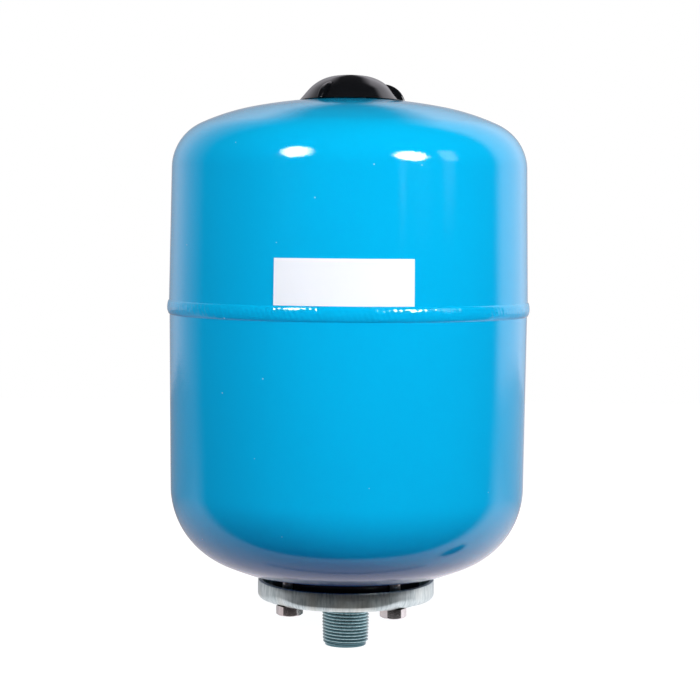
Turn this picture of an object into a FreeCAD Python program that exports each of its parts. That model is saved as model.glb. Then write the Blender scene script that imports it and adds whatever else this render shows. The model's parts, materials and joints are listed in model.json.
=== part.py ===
import FreeCAD, Part
import math
import os

from FreeCAD import Vector

# Well pressure tank: a welded steel vessel with a rubber water bag inside and a charge of air
# around the bag. The frame's origin is the centre of the water nipple's end face, +Z is up
# through the air valve, and -Y is the side with the label. All lengths are in millimetres and
# all angles in degrees.

# Water nipple: male taper pipe thread of 26.67 mm outside diameter
NIPPLE_RADIUS = 13.335
NIPPLE_BORE_RADIUS = 10.45
NIPPLE_REACH = 27.2
NIPPLE_TAPER_LENGTH = 12.0
NIPPLE_END_RADIUS = 12.9
NIPPLE_CHAMFER = 0.8
NIPPLE_SPIGOT_RADIUS = 12.9
NIPPLE_RELIEF_LENGTH = 0.8
NIPPLE_STAND = 2.6
NIPPLE_WELD_LEG = 2.5

# Counterflange: a pressed cup with its rim up, and a flat seat pressed out for each bolt
FLANGE_RADIUS = 50.3
FLANGE_SHEET = 2.5
FLANGE_HEIGHT = 10.7
FLANGE_CORNER = 4.0
PAD_RADIUS = 9.2
PAD_ROUND = 1.0
PAD_DROP = 0.3

# Bolts: four M8 x 25 hexagon head bolts in closed nuts that are welded inside the vessel
BOLT_COUNT = 4
BOLT_CIRCLE_RADIUS = 41.0
FIRST_BOLT_ANGLE = -49.9
BOLT_RADIUS = 4.0
BOLT_LENGTH = 25.0
BOLT_TIP_CHAMFER = 0.8
BOLT_HOLE_RADIUS = 4.5
HEAD_ACROSS_FLATS = 13.0
HEAD_HEIGHT = 5.3
HEAD_FACET_ANGLE = -86.0
CORNER_CHAMFER_ANGLE = 30.0
FACE_CIRCLE_SHARE = 0.95
NUT_ACROSS_FLATS = 13.0
NUT_HEX_HEIGHT = 7.5
NUT_DOME_RADIUS = 5.6
NUT_WALL = 1.4
NUT_BORE_PAST_TIP = 0.5
THREAD_CLEARANCE = 0.05

# Lower shell: deep drawn, with a flat seat and a neck drawn down in its middle
SHEET = 1.2
SEAT_RADIUS = 59.7
LOWER_CROWN_RADIUS = 182.3
LOWER_CROWN_ANGLE = 23.1
LOWER_SHOULDER_RADIUS = 100.07
LOWER_TAPER_ANGLE = 0.54
LOWER_WALL_HEIGHT = 99.46
NECK_RADIUS = 28.0
NECK_LENGTH = 7.0
NECK_BEND = 1.5

# Joint of the two shells: the lower rim is stepped in and laps inside the upper shell
UPPER_STANDS_OUT = 0.38
STEP_HEIGHT = 1.5
STEP_TO_EDGE = 1.0
LAP_HEIGHT = 9.0
LAP_CLEARANCE = 0.05
BEAD_BELOW_EDGE = 4.3
BEAD_ABOVE_EDGE = 3.8
BEAD_PEAK_ABOVE_FOOT = 3.8
BEAD_RISE = 1.2

# Upper shell: deep drawn dome of three tangent arcs, with a hole for the valve boss
UPPER_CROWN_RADIUS = 284.5
UPPER_CROWN_ANGLE = 11.25
UPPER_MIDDLE_RADIUS = 125.9
UPPER_KNUCKLE_RADIUS = 27.8
UPPER_TAPER_ANGLE = 1.0
UPPER_WALL_HEIGHT = 77.93

# Label: a printed film on the upper shell, just above the weld bead
LABEL_HEIGHT = 24.7
LABEL_WIDTH = 75.0
LABEL_FILM = 0.2
LABEL_GLUE = 0.1
LABEL_ABOVE_BEAD = 0.3
LABEL_ANGLE = -91.35

# Bladder: moulded rubber bag with a thick collar that the counterflange presses on the seat
COLLAR_RADIUS = 42.0
COLLAR_HEIGHT = 14.0
COLLAR_HOLE_RADIUS = 17.0
NECK_GROOVE_CLEARANCE = 0.2
NOTCH_CLEARANCE = 1.2
BAG_WALL = 2.0
BAG_SIDE_GAP = 22.9
BAG_TOP_GAP = 23.0
BAG_NECK_HEIGHT = 8.0
BAG_FLARE_RADIUS = 12.0
BAG_FLARE_ANGLE = 30.0
BAG_CROWN_RADIUS = 110.0
BAG_KNUCKLE_RADIUS = 51.0

# Valve boss in the crown, and the brass valve body screwed in it
BOSS_RADIUS = 8.9
BOSS_STAND = 0.6
BOSS_LENGTH = 12.0
BOSS_HOLE_CLEARANCE = 0.1
BOSS_WELD_LEG = 2.5
SHANK_RADIUS = 4.8
SHANK_LENGTH = 15.0
VALVE_SEAL_THICKNESS = 1.0
COLLAR_NUT_RADIUS = 7.0
COLLAR_NUT_HEIGHT = 4.0
COLLAR_NUT_CHAMFER = 0.5
STEM_RADIUS = 3.85
STEM_HEIGHT = 4.8
STEM_CHAMFER = 0.4
CORE_BORE_RADIUS = 2.55
AIR_BORE_RADIUS = 2.2
CORE_TAPER_LENGTH = 2.0

# Valve core: barrel, its seal, pin, cup and spring; depths are measured down the pin's axis
BARREL_RADIUS = 2.45
BARREL_SINK = 1.0
BARREL_THREAD_LENGTH = 5.5
BARREL_TUBE_RADIUS = 1.7
BARREL_TUBE_LENGTH = 3.0
SPRING_CHAMBER_RADIUS = 1.45
BARREL_FLOOR = 1.5
BARREL_MOUTH_RADIUS = 0.9
BARREL_SLOT = 1.0
CORE_SEAL_LENGTH = 2.0
PIN_RADIUS = 0.5
PIN_SINK = 0.4
PIN_HEAD_RADIUS = 1.2
PIN_HEAD_DEPTH = 2.2
PIN_HEAD_HEIGHT = 0.8
PIN_TAIL = 1.7
CUP_RADIUS = 1.9
CUP_WALL = 0.3
CUP_HEIGHT = 1.4
CUP_LIP_DROP = 0.4
CUP_SEAL_THICKNESS = 1.0
SPRING_WIRE_RADIUS = 0.16
SPRING_WIRE_SIDES = 6
SPRING_TURNS = 5
SPRING_END_CLEARANCE = 0.02

# Cover cap: moulded dome with three grip ribs outside and a hub inside that grips the valve
CAP_HEIGHT_ABOVE_CROWN = 13.2
CAP_CROWN_RADIUS = 66.7
CAP_CROWN_ANGLE = 7.55
CAP_SIDE_RADIUS = 23.94
CAP_SIDE_ANGLE = 49.4
CAP_RADIUS = 28.7
CAP_WALL = 1.8
CAP_CLEARANCE = 0.3
HUB_WALL = 1.8
RIB_COUNT = 3
FIRST_RIB_ANGLE = -4.0
RIB_THICKNESS = 3.2
RIB_ROUND = 0.9
RIB_REACH = 2.1
RIB_START_RADIUS = 20.0
RIB_SHOULDER_RADIUS = 27.6
RIB_SHOULDER_HEIGHT = 5.3

AXIS = Vector(0, 0, 1)
ORIGIN = Vector(0, 0, 0)
FULL_TURN = 360.0
UPRIGHT = 90.0
HEX_SIDES = 6
OVERSHOOT = 1.0

# Levels up the axis that more than one piece uses
flange_bottom = NIPPLE_REACH
flange_floor = flange_bottom + FLANGE_SHEET
head_seat = flange_bottom - PAD_DROP
seat = flange_floor + COLLAR_HEIGHT
seat_inside = seat + SHEET
neck_end = seat - NECK_LENGTH


def at(radius, height):
    """A point of a profile, in the plane that is turned about the axis."""
    return Vector(radius, 0, height)


def line(start, end):
    return Part.LineSegment(start, end).toShape()


def arc(start, middle, end):
    return Part.Arc(start, middle, end).toShape()


def path(*points):
    """Straight edges from point to point."""
    return [line(start, end) for start, end in zip(points, points[1:])]


def turned(edges, angle=FULL_TURN):
    """The solid swept by a closed profile when it turns about the axis."""
    face = Part.Face(Part.Wire(Part.sortEdges(edges)[0]))
    solid = face.revolve(ORIGIN, AXIS, angle)
    if solid.Volume < 0:
        solid.reverse()
    return solid


def ring(inner_radius, outer_radius, bottom, top):
    """A plain ring, or a disc where the inner radius is zero."""
    start = at(inner_radius, bottom)
    return turned(path(start, at(outer_radius, bottom), at(outer_radius, top), at(inner_radius, top), start))


def turned_by(shape, angle):
    """A copy turned about the axis."""
    copy = shape.copy()
    copy.rotate(ORIGIN, AXIS, angle)
    return copy


def at_bolts(shape, facet_angle=0.0):
    """A copy of the shape on each bolt's axis, all turned to the same facet angle."""
    copies = []
    for i in range(BOLT_COUNT):
        copy = turned_by(shape, facet_angle)
        turn = FreeCAD.Rotation(AXIS, FIRST_BOLT_ANGLE + i * FULL_TURN / BOLT_COUNT)
        copy.translate(turn.multVec(Vector(BOLT_CIRCLE_RADIUS, 0, 0)))
        copies.append(copy)
    return copies


def hexagon(across_flats, bottom, height):
    """A six-sided prism with one flat towards +X."""
    half_side = FULL_TURN / HEX_SIDES / 2
    corner = at(across_flats / 2 / math.cos(math.radians(half_side)), bottom)
    angles = [half_side * (2 * i + 1) for i in range(HEX_SIDES + 1)]
    corners = [FreeCAD.Rotation(AXIS, angle).multVec(corner) for angle in angles]
    return Part.Face(Part.makePolygon(corners)).extrude(Vector(0, 0, height))


def chamfer_cone(across_flats, flat_end, other_end):
    """The cone that trims a hexagon's six corners towards its flat end."""
    rim_radius = across_flats / 2 * FACE_CIRCLE_SHARE
    wide_radius = across_flats * FACE_CIRCLE_SHARE
    depth = (wide_radius - rim_radius) * math.tan(math.radians(CORNER_CHAMFER_ANGLE))
    cone_end = flat_end + math.copysign(depth, other_end - flat_end)
    outline = [
        at(0, flat_end),
        at(rim_radius, flat_end),
        at(wide_radius, cone_end),
        at(wide_radius, other_end),
        at(0, other_end),
    ]
    return turned(path(*outline, outline[0]))


def slope_point(centre, radius, slope, up):
    """The point of a profile arc at which the surface has turned by the slope from level."""
    angle = math.radians(slope)
    return at(centre.x + radius * math.sin(angle), centre.z + up * radius * math.cos(angle))


def arc_centres(centre, arcs, up):
    """The centres of a chain of tangent arcs; each arc is (radius, slope at start, slope at end)."""
    centres = [centre]
    for before, after in zip(arcs, arcs[1:]):
        centres.append(slope_point(centres[-1], before[0] - after[0], after[1], up))
    return centres


def chain(centre, arcs, up, inward=0.0):
    """The edges of a chain of tangent arcs, moved inward by a wall's thickness."""
    edges = []
    for middle, (radius, start, end) in zip(arc_centres(centre, arcs, up), arcs):
        slopes = (start, (start + end) / 2, end)
        edges.append(arc(*[slope_point(middle, radius - inward, slope, up) for slope in slopes]))
    return edges


def first_point(edges):
    return edges[0].Vertexes[0].Point


def last_point(edges):
    return edges[-1].Vertexes[-1].Point


def crown_of(edges):
    """The highest point of a profile."""
    return max((vertex.Point for edge in edges for vertex in edge.Vertexes), key=lambda point: point.z)


def sine(angle):
    return math.sin(math.radians(angle))


def closing_radius(shoulder_radius, crown, end_slope):
    """The knuckle radius that brings a crown arc from the axis out to the shoulder radius."""
    crown_radius, _, crown_end = crown
    return (shoulder_radius - crown_radius * sine(crown_end)) / (sine(end_slope) - sine(crown_end))


def joining_slope(shoulder_radius, reach, middle, knuckle_radius, end_slope):
    """The slope at which a knuckle takes over from the arc before it, to end at the shoulder radius."""
    middle_radius, middle_start = middle
    rest = shoulder_radius - reach + middle_radius * sine(middle_start) - knuckle_radius * sine(end_slope)
    return math.degrees(math.asin(rest / (middle_radius - knuckle_radius)))


# Lower shell's arcs, from the crease round the seat to the shoulder
lower_end_slope = UPRIGHT - LOWER_TAPER_ANGLE
lower_crown = (LOWER_CROWN_RADIUS, 0.0, LOWER_CROWN_ANGLE)
lower_knuckle_radius = closing_radius(LOWER_SHOULDER_RADIUS, lower_crown, lower_end_slope)
lower_centre = at(0, seat + math.sqrt(LOWER_CROWN_RADIUS ** 2 - SEAT_RADIUS ** 2))


def lower_arcs(inward):
    """The lower shell's arcs; the crown's start is where it meets the flat seat."""
    radius = LOWER_CROWN_RADIUS - inward
    crease_slope = math.degrees(math.acos((lower_centre.z - seat - inward) / radius))
    crown = (LOWER_CROWN_RADIUS, crease_slope, LOWER_CROWN_ANGLE)
    return [crown, (lower_knuckle_radius, LOWER_CROWN_ANGLE, lower_end_slope)]


lower_shoulder = last_point(chain(lower_centre, lower_arcs(0), -1))
step_foot = lower_shoulder.z + LOWER_WALL_HEIGHT
step_top = step_foot + STEP_HEIGHT
upper_edge = step_top + STEP_TO_EDGE
lap_top = upper_edge + LAP_HEIGHT
bead_foot = upper_edge - BEAD_BELOW_EDGE
bead_top = upper_edge + BEAD_ABOVE_EDGE

# Upper shell's arcs, from the axis to the shoulder; its wall follows the lower shell's at the seam
upper_shoulder_height = upper_edge + UPPER_WALL_HEIGHT
upper_end_slope = UPRIGHT - UPPER_TAPER_ANGLE
lower_spread = (step_foot - lower_shoulder.z) * math.tan(math.radians(LOWER_TAPER_ANGLE))
upper_edge_radius = lower_shoulder.x + lower_spread + UPPER_STANDS_OUT
upper_shoulder_radius = upper_edge_radius - UPPER_WALL_HEIGHT * math.tan(math.radians(UPPER_TAPER_ANGLE))
upper_middle_slope = joining_slope(
    upper_shoulder_radius,
    UPPER_CROWN_RADIUS * sine(UPPER_CROWN_ANGLE),
    (UPPER_MIDDLE_RADIUS, UPPER_CROWN_ANGLE),
    UPPER_KNUCKLE_RADIUS,
    upper_end_slope,
)
boss_hole_slope = math.degrees(math.asin((BOSS_RADIUS + BOSS_HOLE_CLEARANCE) / UPPER_CROWN_RADIUS))
upper_arcs = [
    (UPPER_CROWN_RADIUS, boss_hole_slope, UPPER_CROWN_ANGLE),
    (UPPER_MIDDLE_RADIUS, UPPER_CROWN_ANGLE, upper_middle_slope),
    (UPPER_KNUCKLE_RADIUS, upper_middle_slope, upper_end_slope),
]
upper_drop = -last_point(chain(at(0, -UPPER_CROWN_RADIUS), upper_arcs, 1)).z
crown_top = upper_shoulder_height + upper_drop
upper_centre = at(0, crown_top - UPPER_CROWN_RADIUS)

# Levels of the valve, the core and the cap
boss_top = crown_top + BOSS_STAND
boss_bottom = boss_top - BOSS_LENGTH
shank_end = boss_top - SHANK_LENGTH
collar_nut_bottom = boss_top + VALVE_SEAL_THICKNESS
collar_nut_top = collar_nut_bottom + COLLAR_NUT_HEIGHT
stem_mouth = collar_nut_top + STEM_HEIGHT
barrel_top = stem_mouth - BARREL_SINK
barrel_step = barrel_top - BARREL_THREAD_LENGTH
barrel_mouth = barrel_step - BARREL_TUBE_LENGTH
spring_floor = barrel_mouth + BARREL_FLOOR
pin_top = stem_mouth - PIN_SINK
pin_head_bottom = pin_top - PIN_HEAD_DEPTH - PIN_HEAD_HEIGHT
cup_bottom = barrel_mouth - CUP_LIP_DROP - CUP_HEIGHT

# The bag keeps its gaps to the lower shell's wall and to the valve's shank
bag_radius = LOWER_SHOULDER_RADIUS - SHEET - BAG_SIDE_GAP
bag_top = shank_end - BAG_TOP_GAP
flare_centre = at(NECK_RADIUS - NECK_GROOVE_CLEARANCE + BAG_FLARE_RADIUS, seat_inside + BAG_NECK_HEIGHT)


def crown_height(radius, inward=0.0):
    """The height of the upper shell's crown at a radius."""
    return upper_centre.z + math.sqrt((UPPER_CROWN_RADIUS - inward) ** 2 - radius ** 2)


def upper_wall_radius(height, inward=0.0):
    """The upper shell's wall radius at a height; it widens downwards."""
    taper = math.radians(UPPER_TAPER_ANGLE)
    spread = (upper_shoulder_height - height) * math.tan(taper)
    return upper_shoulder_radius + spread - inward / math.cos(taper)


def lower_wall_radius(height, inward=0.0):
    """The lower shell's wall radius at a height; it widens upwards."""
    taper = math.radians(LOWER_TAPER_ANGLE)
    spread = (height - lower_shoulder.z) * math.tan(taper)
    return LOWER_SHOULDER_RADIUS + spread - inward / math.cos(taper)


def lap_radius(height, inward=0.0):
    """The outside of the lower rim where it laps inside the upper shell."""
    return upper_wall_radius(height, SHEET + LAP_CLEARANCE + inward)


def upper_shell():
    outside = chain(upper_centre, upper_arcs, 1)
    inside = chain(upper_centre, upper_arcs, 1, SHEET)
    outer_edge = at(upper_wall_radius(upper_edge), upper_edge)
    inner_edge = at(upper_wall_radius(upper_edge, SHEET), upper_edge)
    skirt = path(last_point(outside), outer_edge, inner_edge, last_point(inside))
    hole = path(first_point(inside), first_point(outside))
    return turned(outside + inside + skirt + hole)


def lower_shell():
    outside = chain(lower_centre, lower_arcs(0), -1)
    inside = chain(lower_centre, lower_arcs(SHEET), -1, SHEET)
    rim = path(
        last_point(outside),
        at(lower_wall_radius(step_foot), step_foot),
        at(lap_radius(step_top), step_top),
        at(lap_radius(lap_top), lap_top),
        at(lap_radius(lap_top, SHEET), lap_top),
        at(lap_radius(step_top, SHEET), step_top),
        at(lower_wall_radius(step_foot, SHEET), step_foot),
        last_point(inside),
    )
    middle = seat_and_neck(first_point(outside), first_point(inside))
    return turned(outside + inside + rim + middle).cut(bolt_holes())


def seat_and_neck(crease, crease_inside):
    """The flat seat and the drawn neck, from the crease inside round to the crease outside."""
    neck_outside = NECK_RADIUS + SHEET
    bend_inside = NECK_BEND + SHEET
    centre = at(neck_outside + NECK_BEND, seat - NECK_BEND)
    diagonal = math.sqrt(0.5)
    inner_middle = centre + at(-bend_inside * diagonal, bend_inside * diagonal)
    outer_middle = centre + at(-NECK_BEND * diagonal, NECK_BEND * diagonal)
    inner_bend = arc(at(centre.x, seat_inside), inner_middle, at(NECK_RADIUS, centre.z))
    outer_bend = arc(at(neck_outside, centre.z), outer_middle, at(centre.x, seat))
    neck = path(at(NECK_RADIUS, centre.z), at(NECK_RADIUS, neck_end), at(neck_outside, neck_end),
                at(neck_outside, centre.z))
    flats = [line(crease_inside, at(centre.x, seat_inside)), line(at(centre.x, seat), crease)]
    return flats + [inner_bend] + neck + [outer_bend]


def bolt_holes():
    hole = ring(0, BOLT_HOLE_RADIUS, head_seat - OVERSHOOT, seat_inside + OVERSHOOT)
    return Part.makeCompound(at_bolts(hole))


def girth_weld():
    """The bead over the lap, filled in to the two sheets."""
    foot = at(lower_wall_radius(bead_foot), bead_foot)
    top = at(upper_wall_radius(bead_top), bead_top)
    peak_height = bead_foot + BEAD_PEAK_ABOVE_FOOT
    peak = at(upper_wall_radius(bead_top) + BEAD_RISE, peak_height)
    fill = path(
        top,
        at(upper_wall_radius(upper_edge), upper_edge),
        at(lap_radius(upper_edge), upper_edge),
        at(lap_radius(step_top), step_top),
        at(lower_wall_radius(step_foot), step_foot),
        foot,
    )
    return turned(fill + [arc(foot, peak, top)])


def label():
    bottom = bead_top + LABEL_ABOVE_BEAD
    top = bottom + LABEL_HEIGHT
    corners = [
        at(upper_wall_radius(bottom) + LABEL_GLUE, bottom),
        at(upper_wall_radius(bottom) + LABEL_GLUE + LABEL_FILM, bottom),
        at(upper_wall_radius(top) + LABEL_GLUE + LABEL_FILM, top),
        at(upper_wall_radius(top) + LABEL_GLUE, top),
    ]
    span = math.degrees(LABEL_WIDTH / upper_wall_radius(bottom))
    film = turned(path(*corners, corners[0]), span)
    return turned_by(film, LABEL_ANGLE - span / 2)


def threaded_nipple():
    """Tapered at its end, straight to a relief just under the flange, and a spigot through it."""
    top = flange_floor + NIPPLE_STAND
    relief = flange_bottom - NIPPLE_RELIEF_LENGTH
    outline = [
        at(NIPPLE_BORE_RADIUS, 0),
        at(NIPPLE_END_RADIUS - NIPPLE_CHAMFER, 0),
        at(NIPPLE_END_RADIUS, NIPPLE_CHAMFER),
        at(NIPPLE_RADIUS, NIPPLE_TAPER_LENGTH),
        at(NIPPLE_RADIUS, relief),
        at(NIPPLE_SPIGOT_RADIUS, relief),
        at(NIPPLE_SPIGOT_RADIUS, top),
        at(NIPPLE_BORE_RADIUS, top),
    ]
    return turned(path(*outline, outline[0]))


def nipple_weld():
    corners = [
        at(NIPPLE_SPIGOT_RADIUS, flange_floor),
        at(NIPPLE_SPIGOT_RADIUS + NIPPLE_WELD_LEG, flange_floor),
        at(NIPPLE_SPIGOT_RADIUS, flange_floor + NIPPLE_WELD_LEG),
    ]
    return turned(path(*corners, corners[0]))


def rounded_disc(radius, corner, bottom, top):
    """A disc whose lower edge is rounded."""
    centre = at(radius - corner, bottom + corner)
    diagonal = corner * math.sqrt(0.5)
    round_edge = arc(at(centre.x, bottom), centre + at(diagonal, -diagonal), at(radius, centre.z))
    rest = path(at(radius, centre.z), at(radius, top), at(0, top), at(0, bottom), at(centre.x, bottom))
    return turned(rest + [round_edge])


def counterflange():
    rim_top = flange_bottom + FLANGE_HEIGHT
    cup = rounded_disc(FLANGE_RADIUS, FLANGE_CORNER, flange_bottom, rim_top)
    hollow_radius = FLANGE_RADIUS - FLANGE_SHEET
    hollow = rounded_disc(hollow_radius, FLANGE_CORNER - FLANGE_SHEET, flange_floor, rim_top + OVERSHOOT)
    pad = rounded_disc(PAD_RADIUS, PAD_ROUND, head_seat, flange_bottom + FLANGE_CORNER)
    within_wall = ring(0, FLANGE_RADIUS - PAD_DROP, head_seat, rim_top)
    pads = [one.common(within_wall) for one in at_bolts(pad)]
    nipple_hole = ring(0, NIPPLE_SPIGOT_RADIUS, flange_bottom - OVERSHOOT, rim_top)
    return cup.fuse(pads).cut([hollow, nipple_hole, bolt_holes()]).removeSplitter()


def flange_bolts():
    head_bottom = head_seat - HEAD_HEIGHT
    head = hexagon(HEAD_ACROSS_FLATS, head_bottom, HEAD_HEIGHT)
    head = head.common(chamfer_cone(HEAD_ACROSS_FLATS, head_bottom, head_seat))
    tip = head_seat + BOLT_LENGTH
    outline = [
        at(0, head_seat - HEAD_HEIGHT / 2),
        at(BOLT_RADIUS, head_seat - HEAD_HEIGHT / 2),
        at(BOLT_RADIUS, tip - BOLT_TIP_CHAMFER),
        at(BOLT_RADIUS - BOLT_TIP_CHAMFER, tip),
        at(0, tip),
    ]
    bolt = head.fuse(turned(path(*outline, outline[0]))).removeSplitter()
    return Part.makeCompound(at_bolts(bolt, HEAD_FACET_ANGLE))


def weld_nuts():
    """Closed nuts on the inner face of the seat, so that no air passes the bolts."""
    hex_top = seat_inside + NUT_HEX_HEIGHT
    bore_top = head_seat + BOLT_LENGTH + NUT_BORE_PAST_TIP
    dome_top = max(hex_top, bore_top) + NUT_WALL
    body = hexagon(NUT_ACROSS_FLATS, seat_inside, NUT_HEX_HEIGHT)
    body = body.common(chamfer_cone(NUT_ACROSS_FLATS, hex_top, seat_inside))
    dome = rounded_disc(NUT_DOME_RADIUS, NUT_WALL, -dome_top, -seat_inside).mirror(ORIGIN, AXIS)
    bore = ring(0, BOLT_RADIUS + THREAD_CLEARANCE, seat_inside - OVERSHOOT, bore_top)
    nut = body.fuse(dome).cut(bore).removeSplitter()
    return Part.makeCompound(at_bolts(nut, HEAD_FACET_ANGLE))


def flare_point(slope, inward):
    """A point of the bag's flare, whose arc curves out from the neck."""
    radius = BAG_FLARE_RADIUS + inward
    angle = math.radians(slope)
    return flare_centre + at(-radius * math.sin(angle), radius * math.cos(angle))


def bag_face(inward):
    """One face of the bag, from the top of its neck to the axis."""
    flare_slopes = (UPRIGHT, (UPRIGHT + BAG_FLARE_ANGLE) / 2, BAG_FLARE_ANGLE)
    flare = arc(*[flare_point(slope, inward) for slope in flare_slopes])
    flare_end = flare_point(BAG_FLARE_ANGLE, 0)
    bottom_radius = (bag_radius - flare_end.x) / (1 - sine(BAG_FLARE_ANGLE))
    rise = bottom_radius * math.cos(math.radians(BAG_FLARE_ANGLE))
    bottom_centre = at(bag_radius - bottom_radius, flare_end.z + rise)
    bottom = chain(bottom_centre, [(bottom_radius, BAG_FLARE_ANGLE, UPRIGHT)], -1, inward)
    crown = (BAG_CROWN_RADIUS, 0.0)
    crown_end = joining_slope(bag_radius, 0.0, crown, BAG_KNUCKLE_RADIUS, UPRIGHT)
    dome_arcs = [(*crown, crown_end), (BAG_KNUCKLE_RADIUS, crown_end, UPRIGHT)]
    dome = chain(at(0, bag_top - BAG_CROWN_RADIUS), dome_arcs, 1, inward)
    return [flare] + bottom + path(last_point(bottom), last_point(dome)) + dome


def bladder():
    """The bag, its neck and its collar, moulded in one piece."""
    outside = bag_face(0.0)
    inside = bag_face(BAG_WALL)
    outer_neck = flare_point(UPRIGHT, 0.0)
    inner_neck = flare_point(UPRIGHT, BAG_WALL)
    top = crown_of(outside)
    groove_floor = neck_end - NECK_GROOVE_CLEARANCE
    groove_outside = NECK_RADIUS + SHEET + NECK_BEND
    collar = path(
        outer_neck,
        at(outer_neck.x, groove_floor),
        at(groove_outside, groove_floor),
        at(groove_outside, seat),
        at(COLLAR_RADIUS, seat),
        at(COLLAR_RADIUS, flange_floor),
        at(COLLAR_HOLE_RADIUS, flange_floor),
        at(COLLAR_HOLE_RADIUS, groove_floor - BAG_WALL),
        at(inner_neck.x, groove_floor),
        inner_neck,
    )
    bag = turned(outside + inside + path(top, top - at(0, BAG_WALL)) + collar)
    notch = ring(0, BOLT_RADIUS + NOTCH_CLEARANCE, flange_floor - OVERSHOOT, seat + OVERSHOOT)
    return bag.cut(at_bolts(notch))


def valve_boss():
    return ring(SHANK_RADIUS + THREAD_CLEARANCE, BOSS_RADIUS, boss_bottom, boss_top)


def boss_weld():
    """Fillet weld round the boss, under the crown."""
    inside_radius = UPPER_CROWN_RADIUS - SHEET
    slopes = [math.degrees(math.asin((BOSS_RADIUS + leg) / inside_radius))
              for leg in (0, BOSS_WELD_LEG / 2, BOSS_WELD_LEG)]
    on_crown = [slope_point(upper_centre, inside_radius, slope, 1) for slope in slopes]
    foot = at(BOSS_RADIUS, on_crown[0].z - BOSS_WELD_LEG)
    return turned([arc(*on_crown)] + path(on_crown[2], foot, on_crown[0]))


def valve_seal():
    return ring(SHANK_RADIUS + THREAD_CLEARANCE, COLLAR_NUT_RADIUS, boss_top, collar_nut_bottom)


def valve_body():
    """Shank in the boss, round collar on the seal, and the stem that an air line screws on."""
    outline = [
        at(AIR_BORE_RADIUS, boss_top - SHANK_LENGTH),
        at(SHANK_RADIUS, boss_top - SHANK_LENGTH),
        at(SHANK_RADIUS, collar_nut_bottom),
        at(COLLAR_NUT_RADIUS, collar_nut_bottom),
        at(COLLAR_NUT_RADIUS, collar_nut_top - COLLAR_NUT_CHAMFER),
        at(COLLAR_NUT_RADIUS - COLLAR_NUT_CHAMFER, collar_nut_top),
        at(STEM_RADIUS, collar_nut_top),
        at(STEM_RADIUS, stem_mouth - STEM_CHAMFER),
        at(STEM_RADIUS - STEM_CHAMFER, stem_mouth),
        at(CORE_BORE_RADIUS, stem_mouth),
        at(CORE_BORE_RADIUS, barrel_step),
        at(AIR_BORE_RADIUS, barrel_step - CORE_TAPER_LENGTH),
    ]
    return turned(path(*outline, outline[0]))


def core_barrel():
    outline = [
        at(SPRING_CHAMBER_RADIUS, barrel_top),
        at(SPRING_CHAMBER_RADIUS, spring_floor),
        at(BARREL_MOUTH_RADIUS, spring_floor),
        at(BARREL_MOUTH_RADIUS, barrel_mouth),
        at(BARREL_TUBE_RADIUS, barrel_mouth),
        at(BARREL_TUBE_RADIUS, barrel_step),
        at(BARREL_RADIUS, barrel_step),
        at(BARREL_RADIUS, barrel_top),
    ]
    slot = Part.makeBox(2 * CORE_BORE_RADIUS, BARREL_SLOT, BARREL_SLOT,
                        Vector(-CORE_BORE_RADIUS, -BARREL_SLOT / 2, barrel_top - BARREL_SLOT))
    return turned(path(*outline, outline[0])).cut(slot)


def core_seal():
    """Ring that fills the taper between the barrel's tube and the valve body."""
    seal_top = barrel_step
    seal_bottom = barrel_step - CORE_SEAL_LENGTH
    drop = (CORE_BORE_RADIUS - AIR_BORE_RADIUS) * CORE_SEAL_LENGTH / CORE_TAPER_LENGTH
    corners = [
        at(BARREL_TUBE_RADIUS, seal_top),
        at(BARREL_TUBE_RADIUS, seal_bottom),
        at(CORE_BORE_RADIUS - drop, seal_bottom),
        at(CORE_BORE_RADIUS, seal_top),
    ]
    return turned(path(*corners, corners[0]))


def core_pin():
    head_top = pin_head_bottom + PIN_HEAD_HEIGHT
    pin_bottom = cup_bottom - PIN_TAIL
    outline = [
        at(0, pin_bottom),
        at(PIN_RADIUS, pin_bottom),
        at(PIN_RADIUS, pin_head_bottom),
        at(PIN_HEAD_RADIUS, pin_head_bottom),
        at(PIN_HEAD_RADIUS, head_top),
        at(PIN_RADIUS, head_top),
        at(PIN_RADIUS, pin_top),
        at(0, pin_top),
    ]
    return turned(path(*outline, outline[0]))


def core_cup():
    """Cup on the pin that holds the seal against the barrel's mouth."""
    lip = barrel_mouth - CUP_LIP_DROP
    floor = barrel_mouth - CUP_SEAL_THICKNESS
    outline = [
        at(PIN_RADIUS, cup_bottom),
        at(CUP_RADIUS, cup_bottom),
        at(CUP_RADIUS, lip),
        at(CUP_RADIUS - CUP_WALL, lip),
        at(CUP_RADIUS - CUP_WALL, floor),
        at(PIN_RADIUS, floor),
    ]
    return turned(path(*outline, outline[0]))


def cup_seal():
    return ring(PIN_RADIUS, CUP_RADIUS - CUP_WALL, barrel_mouth - CUP_SEAL_THICKNESS, barrel_mouth)


def core_spring():
    """Coil spring between the barrel's floor and the pin's head."""
    foot = spring_floor + SPRING_WIRE_RADIUS + SPRING_END_CLEARANCE
    head = pin_head_bottom - SPRING_WIRE_RADIUS - SPRING_END_CLEARANCE
    coil_radius = PIN_HEAD_RADIUS - SPRING_WIRE_RADIUS
    pitch = (head - foot) / SPRING_TURNS
    helix = Part.makeHelix(pitch, head - foot, coil_radius)
    helix.translate(Vector(0, 0, foot))
    corners = []
    for i in range(SPRING_WIRE_SIDES + 1):
        angle = math.radians(FULL_TURN * i / SPRING_WIRE_SIDES)
        corner = at(SPRING_WIRE_RADIUS * math.cos(angle), SPRING_WIRE_RADIUS * math.sin(angle))
        corners.append(at(coil_radius, foot) + corner)
    return Part.Wire(helix).makePipeShell([Part.makePolygon(corners)], True, True)


def cap_arcs():
    return [(CAP_CROWN_RADIUS, 0.0, CAP_CROWN_ANGLE), (CAP_SIDE_RADIUS, CAP_CROWN_ANGLE, CAP_SIDE_ANGLE)]


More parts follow.
